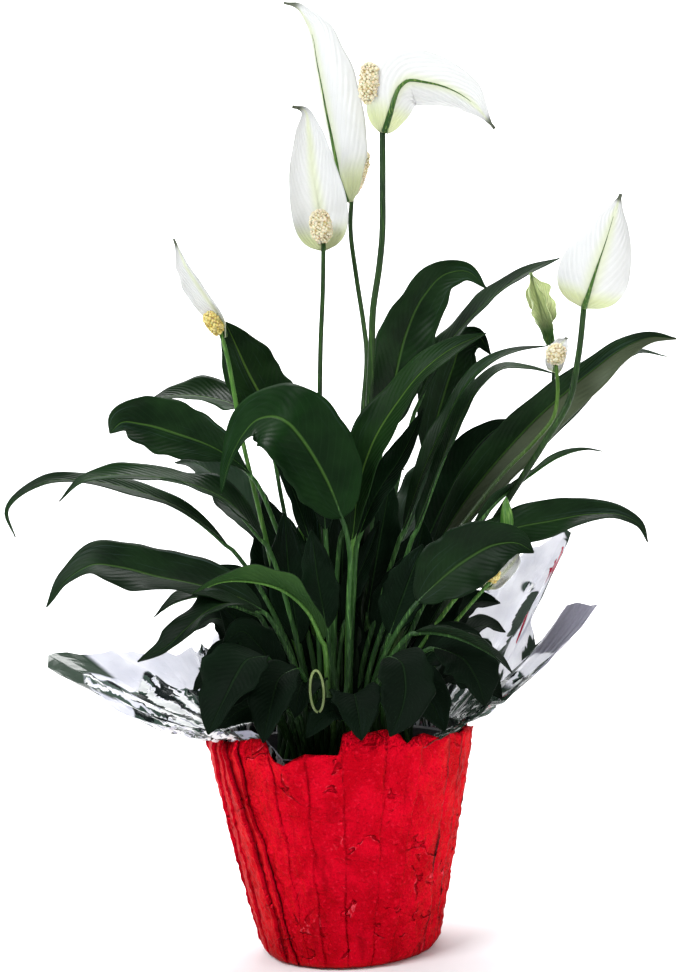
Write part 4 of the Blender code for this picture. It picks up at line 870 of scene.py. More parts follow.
BLOOMS = {
    "top": Bloom(
        (0, 4), [(9, 6, 158), (19, 8, 240), (25, 10, 330), (30, 14, 376), (29, 16, 392),
                 (26, 18, 423), (24, 20, 457), (26, 21, 476)],
        [(26, 21, 478), (22.5, 19, 504), (16.5, 18, 531), (10, 18, 561), (2, 18, 593),
         (-4, 19, 602), (-12, 20, 605)],
        27, (0.9, 0.45, 0), 80, ((0.4, 0, 1), 30, 4.2)),
    "reflexed": Bloom(
        (9, 3), [(12, 2, 158), (22, 0, 240), (28, -2, 321), (33, -4, 375), (35, -5, 397),
                 (40, -6, 422), (43, -7, 441), (45, -8, 472), (47, -9, 512)],
        [(48, -9, 514), (51, -10, 526), (56, -11, 536), (64, -12, 541), (77, -15, 538), (90, -18, 532),
         (105, -21, 519), (116, -23, 503)],
        20, (-0.25, 0.8, 0.6), 45, ((0.08, -0.12, 1), 25, 6.4, (-8, -7, 13)), widest=0.33),
    "front": Bloom(
        (-10, 0), [(0, -2, 159), (-3, -1, 241), (-3, 0, 311), (-1, 1, 352), (1, 1, 380),
                   (4, -4, 411), (6, -10, 440)],
        [(6, -10, 440), (4.5, -8, 462), (1.5, -8, 488), (0.5, -10, 510), (-2, -14, 524), (-9, -18, 525)],
        20, (0, -1, 0), 48, ((-0.1, -0.2, 1), 20, 6.6), widest=0.27),
    "left": Bloom(
        (-28, 6), [(-20, 6, 159), (-33, 6, 217), (-45, 5, 281), (-53, 4, 326), (-56, 2, 352),
                   (-59, 0, 374), (-62, -2, 388)],
        [(-62, -2, 388), (-70, -6, 402), (-76, -10, 416), (-82, -14, 432), (-87, -18, 446)],
        11, (-0.6, -0.6, -0.5), 60, ((-0.6, -0.4, 0.9), 15, 4.6)),
    "right": Bloom(
        (36, -2), [(33, 0, 151), (57, 0, 187), (82, -2, 227), (101, -6, 256), (117, -18, 280),
                   (135, -32, 307), (150, -36, 330), (157, -37, 356), (163, -37, 391)],
        [(163, -37, 391), (169, -44, 407), (176, -48, 425), (182, -48, 441), (187, -46, 453)],
        25, (0.1, 1, 0.1), 55, ((0.1, 0.5, 1), 17, 4.4), widest=0.27),
    "small": Bloom(
        (28, -16), [(28, -21, 160), (43, -25, 199), (61, -27, 232), (86, -28, 263), (110, -27, 290),
                    (131, -25, 309), (142, -25, 322), (145, -26, 335), (145, -27, 354)],
        [(145, -27, 354), (147, -22, 362), (151, -17, 368), (155, -13, 372)],
        7, (0, -1, 0.2), 50, ((0, -0.2, 1), 12, 5.6)),
    "low": Bloom(
        (44, -12), [(40, -15, 152), (58, -18, 179), (81, -24, 206), (97, -28, 223)],
        [(97, -28, 223), (106, -22, 229), (114, -17, 235), (118, -14, 241)],
        7, (-0.3, -1, 0.3), 50, ((0.6, 0, 1), 9, 3.4)),
    "bud_open": Bloom(
        (33, 8), [(32, 12, 156), (58, 14, 199), (84, 14, 239), (111, 13, 278), (135, 12, 310),
                  (147, 11, 339), (149, 10, 361), (148, 9.5, 374)],
        [(148, 9.5, 374), (145, 8, 386), (142, 6, 397), (139, 5, 408), (137, 4, 417)],
        11, (0.3, -1, 0.1), 75, widest=0.58),
    "bud_closed": Bloom(
        (38, -22), [(33, -26, 154), (49, -31, 181), (71, -35, 210), (94, -38, 235), (106, -39, 250)],
        spadix=((0.1, 0, 1), 24, 4)),
}
print("blooms:", len(BLOOMS))

# %% [markdown]
# The bloom stalks are plain tapering tubes. A closed bud is only the swollen end of its stalk, so
# there the radius grows and shrinks again along the last stretch.
# %% Bloom stalks
STALK_RADIUS = 1.5 * MM
STALK_TAPER = 0.25
STALK_GIRTH = {"reflexed": 1.75, "right": 1.65, "top": 1.35, "front": 1.3, "small": 1.05, "left": 1.2}
STALK_ROWS = 70
STALK_SIDES = 14
STALK_LOOKS = {"left": YOUNG_STALK, "low": YOUNG_STALK, "bud_closed": YOUNG_STALK, "small": PALE_STALK}
BUD_ROWS = 24
BUD_BEND = 0.7
BUD_FULLNESS = 0.6
BUD_TIP_RADIUS = 0.5 * MM

for name, shape in BLOOMS.items():
    places = stem_places(shape.foot, shape.stalk)
    bud = 0
    if shape.spathe is None:
        direction, length, radius = shape.spadix
        places.append(places[-1] + Vector(direction).normalized() * length * MM)
        bud = length * MM / sum((b - a).length for a, b in zip(places, places[1:]))
    shares = even_shares(0, 1 - bud, STALK_ROWS)
    if bud:
        shares += even_shares(1 - bud, 1, BUD_ROWS)[1:]
    run = [stem_end(places), *smooth_run(places, shares)]
    girth = STALK_RADIUS * STALK_GIRTH.get(name, 1)
    radii = [girth * (1 - STALK_TAPER * row / (len(run) - 1)) for row in range(len(run))]
    for row, share in enumerate([0, *shares]):
        if bud and share > 1 - bud:
            t = (share - 1 + bud) / bud
            swell = math.sin(math.pi * t**BUD_BEND) ** BUD_FULLNESS
            radii[row] = max(radius * MM * swell, BUD_TIP_RADIUS)
    bm = new_sheet()
    add_tube(bm, run, radii, STALK_SIDES)
    look = STALK_LOOKS.get(name, BLOOM_STALK)
    piece = finish_piece(bm, name + "_stem", [look])
    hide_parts("stalk_" + name)
print("bloom stalks:", len(BLOOMS))

# %% [markdown]
# A spathe is white with a breath of yellow-green along its middle and at its foot, fine veins
# that arch to a drawn-out tip, a dark tip, and an edge darkened as painted shade. It is so thin
# that light passes through it, which a little subsurface scattering gives. A spathe that is only
# opening is still green and more strongly veined. On the spathe's back the stalk runs on as a
# green rib.
# %% Spathe materials
def spathe_look(name, white, tint, vein, tip, tint_width, veined=0.2, tinted_foot=0.22):
    """A thin spathe: pale, tinted along the middle and the foot, with fine veins and painted shade at its
    edge.
    """
    made, tree, shader = new_material(name, Specular_IOR_Level=0.35, Subsurface_Weight=0.25,
                                      Subsurface_Scale=0.003, Subsurface_Radius=(1, 1, 0.9))
    masks = vein_masks(tree, count=11, slant=0.55)
    where = uv_parts(tree)
    off = math_node(tree, "ABSOLUTE", math_node(tree, "MULTIPLY_ADD", where["X"], 2, -1))
    middle = inverse(tree, ramp(tree, off, 0.0, tint_width))
    foot = inverse(tree, ramp(tree, where["Y"], tinted_foot * 0.3, tinted_foot))
    tinted = math_node(tree, "MAXIMUM", times(tree, middle, 0.6), foot)
    colour = mix_colours(tree, tinted, white, tint)
    colour = mix_colours(tree, times(tree, masks["Vein"], veined), colour, vein)
    mottle = ramp(tree, speckle(tree, 120), 0.45, 0.8)
    colour = mix_colours(tree, times(tree, mottle, 0.12), colour, vein)
    # Painted shade: the edge is darkened with the vein colour.
    colour = mix_colours(tree, times(tree, masks["Edge"], 0.6), colour, vein)
    colour = mix_colours(tree, ramp(tree, where["Y"], 0.90, 0.955), colour, tip)
    tree.links.new(colour, shader.inputs["Base Color"])
    tree.links.new(math_node(tree, "MULTIPLY_ADD", mottle, 0.1, 0.45), shader.inputs["Roughness"])
    height = math_node(tree, "ADD", masks["Pleat"], times(tree, mottle, 0.2))
    bump(tree, shader, height, 0.00025)
    return made


SPATHE = spathe_look("spathe", (0.55, 0.555, 0.555, 1), (0.48, 0.53, 0.28, 1), (0.38, 0.40, 0.37, 1),
                     (0.06, 0.075, 0.045, 1), 0.35)
BUD_HOOD = spathe_look("bud_hood", (0.56, 0.64, 0.30, 1), (0.035, 0.105, 0.016, 1),
                       (0.05, 0.13, 0.02, 1), (0.20, 0.30, 0.10, 1), 0.15, veined=0.7, tinted_foot=0.5)
SPATHE_RIB = stem_look("spathe_rib", (0.016, 0.058, 0.008, 1), (0.055, 0.135, 0.022, 1),
                       (0.22, 0.32, 0.08, 1))
print("leaf, stem and spathe materials:", len(bpy.data.materials))

# %% [markdown]
# The spathe is built as the leaf is, from one grid, but its section is an arc instead of a fold,
# and its foot narrows to clasp the stalk. The rib on its back is a tube that thins to nothing.
# The opening bud is two small ruffled spathes, one inside the other.
# %% Spathes
SPATHE_THICKNESS = 0.45 * MM
SPATHE_CLASP = 4 * MM
SPATHE_FOOT = 3 * MM
SPATHE_FULLNESS = 0.8
SPATHE_COLUMNS = 28
SPATHE_ROWS = 56
STALK_CLEAR = 1.95 * MM
TIP_SHARE = 0.22
TIP_FULLNESS = 0.55
SPATHE_TIP_HALF_WIDTH = 0.9 * MM
SPATHE_RUFFLE = 0.5 * MM
BUD_RUFFLE = 2.8 * MM
BUD_INNER_RUFFLE = 1.6 * MM
RIB_SHARE = 0.82
RIB_GIRTH = 0.75
RIB_TIP_RADIUS = 0.12 * MM
RIB_SIDES = 10
RIB_TAPER = {"right": 2.4, "front": 2.4, "left": 2.0}


def stalk_end(shape):
    """The top of a bloom's stalk and the way it goes there."""
    places = to_metres(shape.stalk)
    return places[-1], (places[-1] - places[-2]).normalized()


def add_spathe(bm, name, shape, ruffle):
    """Adds a cupped spathe and the rib on its back."""
    top, way = stalk_end(shape)
    places = to_metres(shape.spathe)
    places[0] = top - way * SPATHE_CLASP
    run = smooth_run(places, even_shares(0, 1, SPATHE_ROWS + 1))
    ways = directions(run)
    sides = sides_along(ways, shape.face, SPATHE_ROWS // 2)
    fronts = [side.cross(way) for side, way in zip(sides, ways)]
    room = shape.spadix[2] * MM + SPATHE_CLASP / 2 if shape.spadix else SPATHE_CLASP
    cup = math.radians(shape.cup)
    backs = []
    for row in range(SPATHE_ROWS + 1):
        t = row / SPATHE_ROWS
        fade = 1 - min(max((t - 0.25) / 0.5, 0), 1)
        backs.append((STALK_CLEAR + (room - STALK_CLEAR) * min(t / 0.12, 1)) * fade)

    def place(u, row):
        t = row / SPATHE_ROWS
        width = outline(t, shape.half_width * MM, shape.widest, SPATHE_FULLNESS)
        width *= min((1 - t) / TIP_SHARE, 1) ** TIP_FULLNESS
        width = max(width, SPATHE_FOOT * (1 - t), SPATHE_TIP_HALF_WIDTH)
        lean = cup * abs(u)
        out = math.sin(lean) / cup * width
        rise = (1 - math.cos(lean)) / cup * width
        wave = math.sin(17 * t + 5 * u + len(name)) + 0.6 * math.sin(31 * t - 9 * u)
        edge = ruffle * u * u * math.sin(math.pi * t) * wave
        centre = run[row] - fronts[row] * backs[row]
        return centre + sides[row] * math.copysign(out, u) + fronts[row] * (rise + edge)

    sheet = laid_grid(bm, SPATHE_COLUMNS, SPATHE_ROWS, place)
    bm.normal_update()
    bmesh.ops.solidify(bm, geom=sheet, thickness=SPATHE_THICKNESS)
    rib = []
    radii = []
    for row in range(0, round(SPATHE_ROWS * RIB_SHARE), 2):
        radius = STALK_RADIUS * STALK_GIRTH.get(name, 1) * RIB_GIRTH
        radius *= (1 - row / SPATHE_ROWS / RIB_SHARE) ** RIB_TAPER.get(name, 1.3)
        radius += RIB_TIP_RADIUS
        rib.append(run[row] - fronts[row] * (backs[row] + SPATHE_THICKNESS + radius * 0.4))
        radii.append(radius)
    add_tube(bm, rib, radii, RIB_SIDES, material_index=1)


for name, shape in BLOOMS.items():
    if shape.spathe is None:
        continue
    bm = new_sheet()
    is_bud = shape.spadix is None
    add_spathe(bm, name, shape, BUD_RUFFLE if is_bud else SPATHE_RUFFLE)
    if is_bud:
        inner = shape._replace(half_width=8, face=(-0.8, -1, 0), cup=80)
        add_spathe(bm, name + "_inner", inner, BUD_INNER_RUFFLE)
    looks = [BUD_HOOD if is_bud else SPATHE, SPATHE_RIB]
    piece = finish_piece(bm, name + "_hood", looks)
    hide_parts("spathe_" + name)
print("spathes:", sum(shape.spathe is not None for shape in BLOOMS.values()))

# %% [markdown]
# The spadix is a fleshy spike crowded with tiny flowers. A stretched sphere is the core, and the
# flowers are small low-polygon spheres placed round it by the golden angle, which spreads them
# as evenly as the real plant does. One spadix stands a little above its stalk on a short neck.
# %% Spadices
def spadix_look(name, low, high, gap):
    """A dry, finely pored cream."""
    made, tree, shader = new_material(name, Subsurface_Weight=0.15, Subsurface_Scale=0.002)
    colour = mix_colours(tree, ramp(tree, speckle(tree, 420), 0.3, 0.65), low, high)
    colour = mix_colours(tree, ramp(tree, speckle(tree, 900, 2), 0.62, 0.75), colour, gap)
    tree.links.new(colour, shader.inputs["Base Color"])
    pores = speckle(tree, 1500, 2)
    tree.links.new(math_node(tree, "MULTIPLY_ADD", pores, 0.2, 0.6), shader.inputs["Roughness"])
    bump(tree, shader, pores, 0.0006)
    return made


SPADIX_CORE = spadix_look("spadix_core", (0.55, 0.42, 0.16, 1), (0.75, 0.62, 0.30, 1), (0.40, 0.26, 0.08, 1))
FLORETS = spadix_look("florets", (0.66, 0.56, 0.32, 1), (0.80, 0.74, 0.56, 1), (0.50, 0.32, 0.09, 1))
YELLOW_FLORETS = spadix_look("yellow_florets", (0.66, 0.50, 0.10, 1), (0.80, 0.68, 0.28, 1),
                             (0.42, 0.28, 0.05, 1))
FLORET_LOOKS = {"left": YELLOW_FLORETS, "low": YELLOW_FLORETS}
CORE_SHARE = 0.9
FLORET_SHARE = 0.93
GOLDEN_TURN = math.radians(137.5)
FLORET_RADIUS = 1.15 * MM
FLORET_SIZES = (0.7, 1.25)
FLORET_AREA = 3.6 * MM * MM
FLORET_SHIFT = 0.5 * MM
NECK_RADIUS = 1.6 * MM
NECK_OVERLAP = 2 * MM
SPADIX_CLEAR = 0.3 * MM


def add_spadix(bm, shape, rng):
    """A core with its florets."""
    direction, length, radius, *raised = shape.spadix
    length, radius = length * MM, radius * MM
    top, _ = stalk_end(shape)
    axis = Vector(direction).normalized()
    turn = axis.to_track_quat("Z", "Y").to_matrix().to_4x4()
    foot = top + (Vector(raised[0]) * MM if raised else axis * SPADIX_CLEAR)
    base = Matrix.Translation(foot) @ turn
    core = base @ Matrix.Translation((0, 0, length / 2)) @ Matrix.Diagonal((1, 1, length / radius / 2, 1))
    bmesh.ops.create_uvsphere(bm, u_segments=20, v_segments=14, radius=radius * CORE_SHARE, matrix=core)
    if raised:
        neck = [top, top.lerp(foot, 0.5), foot + axis * NECK_OVERLAP]
        add_tube(bm, neck, [NECK_RADIUS] * len(neck), 12)
    count = round(math.tau * radius * length / FLORET_AREA)
    for index in range(count):
        height = (index + 0.5) / count
        across = abs(2 * height - 1)
        reach = radius * FLORET_SHARE * math.sqrt(max(1 - across**3, 0.02))
        angle = GOLDEN_TURN * index
        spot = Vector((reach * math.cos(angle), reach * math.sin(angle), height * length))
        spot += Vector((rng.uniform(-1, 1), rng.uniform(-1, 1), rng.uniform(-1, 1))) * FLORET_SHIFT
        size = FLORET_RADIUS * rng.uniform(*FLORET_SIZES)
        made = bmesh.ops.create_icosphere(bm, subdivisions=1, radius=size,
                                          matrix=base @ Matrix.Translation(spot))
        for face in {face for vert in made["verts"] for face in vert.link_faces}:
            face.material_index = 1


rng = random.Random(7)
for name, shape in BLOOMS.items():
    if shape.spathe and shape.spadix:
        bm = new_sheet()
        add_spadix(bm, shape, rng)
        looks = [SPADIX_CORE, FLORET_LOOKS.get(name, FLORETS)]
        piece = finish_piece(bm, name + "_spike", looks)
        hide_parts("spadix_" + name)

# %% [markdown]
# The nursery pot is a turned shape, so it is spun: its wall is drawn once as a profile and swept
# round the axis. Black injection-moulded plastic is a little glossy with a fine texture.
# %% Nursery pot
POT_FOOT_RADIUS = 46 * MM
POT_TOP_RADIUS = 71.5 * MM
POT_LIP_RADIUS = 74 * MM
POT_HEIGHT = 127 * MM
POT_LIP_HEIGHT = 9 * MM
POT_WALL = 1.4 * MM
POT_FLOOR = 2.6 * MM
POT_BEVEL = 1 * MM

black_plastic, tree, shader = new_material("black_plastic", Specular_IOR_Level=0.5)
grain = speckle(tree, 700, 4)
tone = mix_colours(tree, ramp(tree, grain, 0.4, 0.7), (0.010, 0.010, 0.011, 1), (0.022, 0.022, 0.023, 1))
tree.links.new(tone, shader.inputs["Base Color"])
tree.links.new(math_node(tree, "MULTIPLY_ADD", grain, 0.25, 0.22), shader.inputs["Roughness"])
bump(tree, shader, grain, 0.0002)

bm = bmesh.new()
profile = [
    (0, POT_FLOOR),
    (POT_FOOT_RADIUS - POT_WALL, POT_FLOOR),
    (POT_TOP_RADIUS - POT_WALL, POT_HEIGHT - POT_BEVEL),
    (POT_TOP_RADIUS - 0.4 * MM, POT_HEIGHT),
    (POT_LIP_RADIUS - 0.6 * MM, POT_HEIGHT),
    (POT_LIP_RADIUS, POT_HEIGHT - POT_BEVEL),
    (POT_LIP_RADIUS, POT_HEIGHT - POT_LIP_HEIGHT),
    (POT_TOP_RADIUS, POT_HEIGHT - POT_LIP_HEIGHT),
    (POT_FOOT_RADIUS, POT_FLOOR - POT_WALL),
    (0, POT_FLOOR - POT_WALL)]
corners = [bm.verts.new((radius, 0, height)) for radius, height in profile]
edges = [bm.edges.new(pair) for pair in zip(corners, corners[1:])]
bmesh.ops.spin(bm, geom=corners + edges, cent=(0, 0, 0), axis=(0, 0, 1), angle=math.tau, steps=96,
               use_merge=True)
bmesh.ops.remove_doubles(bm, verts=bm.verts, dist=0.001 * MM)
bmesh.ops.recalc_face_normals(bm, faces=bm.faces)
piece = finish_piece(bm, "inner_pot", [black_plastic], smooth=False)
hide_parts("nursery_pot")
print("pot faces:", len(piece.data.polygons))

# %% [markdown]
# The soil is a dark peat mix. A cone gives the plug, its top is cut into small faces and raised
# by noise, and crumbs of peat and a few white grains of perlite lie on it.
# %% Soil
SOIL_RADIUS = 67.4 * MM
SOIL_FOOT_RADIUS = SOIL_RADIUS * 0.93
SOIL_DEPTH = 24 * MM
SOIL_RINGS = 14
SOIL_RING_WIDTH = SOIL_RADIUS / 15.5
CRUMBS = 420
CRUMB_SIZES = (0.5, 1.7)
PERLITE_EVERY = 9

peat, tree, shader = new_material("peat", Specular_IOR_Level=0.2)
lumps = speckle(tree, 320, 6)
tone = mix_colours(tree, ramp(tree, lumps, 0.35, 0.7), (0.008, 0.005, 0.003, 1), (0.045, 0.028, 0.016, 1))
tree.links.new(tone, shader.inputs["Base Color"])
tree.links.new(math_node(tree, "MULTIPLY_ADD", lumps, 0.2, 0.75), shader.inputs["Roughness"])
bump(tree, shader, lumps, 0.002)
perlite, tree, shader = new_material("perlite", Specular_IOR_Level=0.3)
pores = speckle(tree, 1200, 3)
tone = mix_colours(tree, ramp(tree, pores, 0.3, 0.7), (0.42, 0.40, 0.36, 1), (0.72, 0.70, 0.66, 1))
tree.links.new(tone, shader.inputs["Base Color"])
tree.links.new(math_node(tree, "MULTIPLY_ADD", pores, 0.1, 0.8), shader.inputs["Roughness"])
bump(tree, shader, pores, 0.0006)

bm = bmesh.new()
bmesh.ops.create_cone(bm, cap_ends=True, segments=96, radius1=SOIL_FOOT_RADIUS, radius2=SOIL_RADIUS,
                      depth=SOIL_DEPTH, matrix=Matrix.Translation((0, 0, SOIL_TOP - SOIL_DEPTH / 2)))
top = [face for face in bm.faces if len(face.verts) > 4 and face.normal.z > 0.5]
for _ in range(SOIL_RINGS):
    bmesh.ops.inset_region(bm, faces=top, thickness=SOIL_RING_WIDTH, use_even_offset=False)
top_verts = {vert for vert in bm.verts if vert.co.z > SOIL_TOP - 0.1 * MM}
for vert in top_verts:
    if vert.co.xy.length < SOIL_RADIUS * 0.99:
        vert.co.z += (noise.noise(vert.co * 60) * 1.6 + noise.noise(vert.co * 260) * 1.3) * MM
for index in range(CRUMBS):
    angle = rng.uniform(0, math.tau)
    spread = SOIL_RADIUS * 0.96 * math.sqrt(rng.random())
    size = rng.uniform(*CRUMB_SIZES) * MM
    spot = Vector((spread * math.cos(angle), spread * math.sin(angle), SOIL_TOP + size * 0.3))
    made = bmesh.ops.create_icosphere(bm, subdivisions=1, radius=size, matrix=Matrix.Translation(spot))
    if index % PERLITE_EVERY == 0:
        for face in {face for vert in made["verts"] for face in vert.link_faces}:
            face.material_index = 1
piece = finish_piece(bm, "peat_soil", [peat, perlite])
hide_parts("soil")
print("soil faces:", len(piece.data.polygons))

# %% [markdown]
# The pot cover is a sheet of red foil pressed into pleats round the pot. Each pleat is a flat
# panel that tucks under the next, so its fold shows as a thin dark line, partly a real groove and
# partly painted shade. A cone is cut into columns and rings, and every tuck gets the same number
# of columns, so the creases run along the grid and stay sharp even where they slant. Each point
# moves to the cover's profile, in at a tuck and last by crumpling. How much painted shade a point
# gets in and beside a tuck is kept as an attribute, so the material can darken it. The sheet gets
# its thickness from a second layer that is pushed inwards.
# %% Foil cover shape
COVER_HEIGHT = 130 * MM
COVER_RIM_RADIUS = 82.2 * MM
COVER_FOOT_RADIUS = 54.5 * MM
COVER_BOTTOM_RADIUS = 48 * MM
COVER_FOOT_HEIGHT = 6 * MM
COVER_THICKNESS = 0.5 * MM
COVER_RINGS = 70
PANEL_COLUMNS = 20
PANEL_LEAN = 1.2 * MM
PANEL_START = 0.8
TUCK_DEPTH = 2.4 * MM
FOOT_SHARE = 0.06
RIM_SHARE = 0.85
FLARE_SHARE = 0.93
FLARE = 1.4 * MM
LEANS_IN_ABOVE = 132 * MM

# Where the foil is tucked: degrees at the rim, degrees at the foot, and how strongly (0 to 1).
TUCKS = [(2, 4, 0.7), (18, 16, 0.9), (34, 38, 0.6), (52, 50, 0.8), (70, 74, 0.6), (88, 86, 0.8),
         (106, 110, 0.7), (124, 122, 0.8), (141, 146, 0.6), (159, 155, 0.8), (180, 167, 0.8),
         (202, 180, 0.9), (209, 202, 0.6), (214, 225, 1.0), (221, 233, 1.0), (240, 243, 0.4),
         (256, 253, 0.35), (271, 268, 0.4), (289, 283, 0.5), (306, 294, 1.0), (322, 322, 0.9),
         (331, 334, 1.0), (338, 342, 0.8), (346, 348, 1.0), (353, 354, 0.8)]
# Past this angle a panel's edge hides the tuck behind it, so the edge gets the painted shade instead.
EDGE_SIDE = 310
# The rim: degrees, and height in millimetres.
RIM = [(0, 132), (12, 130), (30, 133), (52, 129), (75, 132), (98, 134), (120, 130), (142, 132), (165, 133),
       (176, 131), (190, 137), (204, 139), (214, 137), (228, 139.5), (237, 140), (243, 128), (247, 125.5),
       (251, 129), (256, 132), (270, 131), (271.5, 142), (276, 144), (283, 142), (290, 143), (296, 140),
       (298, 134), (302, 137), (309, 138), (316, 134), (324, 137), (332, 133), (340, 136), (352, 133),
       (360, 132)]


def between(stops, value):
    """The straight-line value between two stops of a list of (place, value)."""
    for (a, low), (b, high) in zip(stops, stops[1:]):
        if value <= b:
            return low + (high - low) * (value - a) / (b - a)
    return stops[-1][1]


def tuck_line(index, share):
    """Degrees of a tuck at a share of the height, with a slight wander."""
    rim, foot, _ = TUCKS[index % len(TUCKS)]
    wander = noise.noise(Vector((share * 9, index % len(TUCKS) * 3.1, 0.5))) * 1.5
    return foot + (rim - foot) * share + wander + 360 * (index // len(TUCKS))


columns = PANEL_COLUMNS * len(TUCKS)
bm = bmesh.new()
bmesh.ops.create_cone(bm, cap_ends=False, segments=columns, radius1=COVER_BOTTOM_RADIUS,
                      radius2=COVER_RIM_RADIUS, depth=COVER_HEIGHT,
                      matrix=Matrix.Translation((0, 0, COVER_HEIGHT / 2)))
rising = [edge for edge in bm.edges if abs(edge.verts[0].co.z - edge.verts[1].co.z) > COVER_HEIGHT / 2]
bmesh.ops.subdivide_edges(bm, edges=rising, cuts=COVER_RINGS, use_grid_fill=True)
# An attribute for the painted shade in and beside the tucks.
tuck_shading = bm.verts.layers.float.new("tuck_shading")
slope = (COVER_RIM_RADIUS - COVER_FOOT_RADIUS) / (COVER_HEIGHT - COVER_FOOT_HEIGHT)
for vert in bm.verts:
    share = vert.co.z / COVER_HEIGHT
    column = round(math.atan2(vert.co.y, vert.co.x) / math.tau * columns) % columns
    panel, step = divmod(column, PANEL_COLUMNS)
    start, end = tuck_line(panel, share), tuck_line(panel + 1, share)
    strength = TUCKS[panel][2] * (0.75 + 0.7 * noise.noise(Vector((panel * 1.7, share * 3, 9))))
    next_strength = TUCKS[(panel + 1) % len(TUCKS)][2]
    hold = min(share / FOOT_SHARE, 1)
    along = (step - 1) / (PANEL_COLUMNS - 2)
    panel_start = start + PANEL_START
    degrees = start if step == 0 else panel_start + (end + 0.5 * next_strength - panel_start) * along
    if step == 0:
        tuck = -TUCK_DEPTH * strength
    elif step == 1:
        tuck = -TUCK_DEPTH * 0.7 * strength
    else:
        tuck = PANEL_LEAN * (along * 2 * next_strength - strength)
    # Painted shade in and beside the tuck.
    vert[tuck_shading] = {0: 1.0, 1: 0.85, 2: 0.15}.get(step, 0.0) * strength
    if end > EDGE_SIDE and step > PANEL_COLUMNS - 3:
        vert[tuck_shading] = next_strength * max(0.45 + 0.9 * noise.noise(Vector((panel, share * 5, 3))), 0)
    height = vert.co.z
    if height < COVER_FOOT_HEIGHT:
        swell = math.sqrt(max(1 - (1 - height / COVER_FOOT_HEIGHT) ** 2, 0))
        radius = COVER_BOTTOM_RADIUS + (COVER_FOOT_RADIUS - COVER_BOTTOM_RADIUS) * swell
    else:
        radius = COVER_FOOT_RADIUS + slope * (height - COVER_FOOT_HEIGHT)
    turn = math.radians(degrees)
    spot = Vector((math.cos(turn), math.sin(turn), share * 1.6))
    ridge = 1 - abs(noise.noise(spot * 7)) * 2
    dents = noise.noise(spot * 15 + Vector((3, 1, 7)))
    buckles = abs(noise.noise(Vector((spot.x * 11, spot.y * 11, spot.z * 34))))
    fine = noise.noise(spot * 34)
    radius += tuck * hold + (ridge * 0.5 + dents * 0.7 + fine * 0.35 - buckles * 1.2 + 0.8) * hold * MM
    rim = between(RIM, degrees % 360) * MM
    height += (rim - COVER_HEIGHT) * max(share - RIM_SHARE, 0) / (1 - RIM_SHARE)
    flare = max(share - FLARE_SHARE, 0) / (1 - FLARE_SHARE) * (0.2 + noise.noise(spot * 4)) * FLARE
    flare -= max(height - LEANS_IN_ABOVE, 0) * 0.45
    vert.co = Vector(((radius + flare) * math.cos(turn), (radius + flare) * math.sin(turn), height))
bottom = [edge for edge in bm.edges if edge.is_boundary and edge.verts[0].co.z < COVER_HEIGHT / 2]
bmesh.ops.contextual_create(bm, geom=bottom)
bmesh.ops.recalc_face_normals(bm, faces=bm.faces)
lining = bmesh.ops.extrude_face_region(bm, geom=list(bm.faces), use_keep_orig=True)
for vert in [item for item in lining["geom"] if isinstance(item, bmesh.types.BMVert)]:
    outward = Vector((vert.co.x, vert.co.y, 0)).normalized()
    vert.co += (Vector((0, 0, 1)) if vert.co.z < COVER_THICKNESS else -outward) * COVER_THICKNESS
bmesh.ops.recalc_face_normals(bm, faces=bm.faces)
reach = max(vert.co.xy.length for vert in bm.verts if vert.co.z < COVER_HEIGHT / 2)
print("cover faces:", len(bm.faces), "widest below the middle:", round(reach / MM, 1), "mm")

# %% [markdown]
# The foil is a strong red with a satin metal sheen. Soft dents come from ridged noise and its
# own finish is finely hammered. Upright streaks are bumped and painted darker red as shade. Short
# pinches get a painted dark shade line with a painted pink glint beside it; they follow the
# middle value of a noise, and two more noises break them up so that they stay short. The
# long tucks get painted shade from the attribute from the cell before.
# %% Foil material
# The foil's reds. The three darkest colours are painted shade along streaks, pinches and tucks, and the pink
# is a painted glint.
DEEP_RED = (0.40, 0.001, 0.007, 1)
BRIGHT_RED = (0.56, 0.002, 0.014, 1)
HAMMERED_RED = (0.68, 0.010, 0.030, 1)
STREAK_SHADE_RED = (0.24, 0.001, 0.005, 1)
PINCH_SHADE_RED = (0.14, 0.001, 0.004, 1)
GLINT_PINK = (0.90, 0.12, 0.16, 1)
TUCK_SHADE = (0.015, 0.001, 0.002, 1)

red_foil, tree, shader = new_material("crinkled_foil", Metallic=0.75, Specular_IOR_Level=0.2,
                                      Specular_Tint=(0.60, 0.06, 0.09, 1))
# The painted shade of the tucks, from the shape's attribute.
deep = add_node(tree, "Attribute", attribute_name="tuck_shading").outputs["Fac"]
place = add_node(tree, "TexCoord").outputs["Object"]
hammered = speckle(tree, 480, 3)
crumple = add_node(tree, "TexNoise", {"Vector": place, "Scale": 42, "Detail": 4, "Distortion": 0.6},
                   noise_type="RIDGED_MULTIFRACTAL").outputs["Fac"]
upright = add_node(tree, "Mapping", {"Vector": place, "Scale": (1, 1, 0.12)}).outputs["Vector"]
shaded_streaks = speckle(tree, 130, 3, upright)
colour = mix_colours(tree, ramp(tree, speckle(tree, 60, 3), 0.3, 0.7), DEEP_RED, BRIGHT_RED)
colour = mix_colours(tree, ramp(tree, hammered, 0.55, 0.8), colour, HAMMERED_RED)
# Painted shade along the upright streaks.
colour = mix_colours(tree, times(tree, ramp(tree, shaded_streaks, 0.54, 0.72), 0.55), colour, STREAK_SHADE_RED)
pinch = add_node(tree, "TexNoise", {"Vector": place, "Scale": 48, "Detail": 1.5,
                                    "Distortion": 0.9}).outputs["Fac"]
where = times(tree, ramp(tree, speckle(tree, 85, 1), 0.50, 0.58),
              ramp(tree, speckle(tree, 14, 1), 0.38, 0.52))


def pinch_line(middle, inner, outer):
    """A thin line where the pinch noise passes a value."""
    away = math_node(tree, "ABSOLUTE", math_node(tree, "SUBTRACT", pinch, middle))
    return times(tree, inverse(tree, ramp(tree, away, inner, outer)), where)
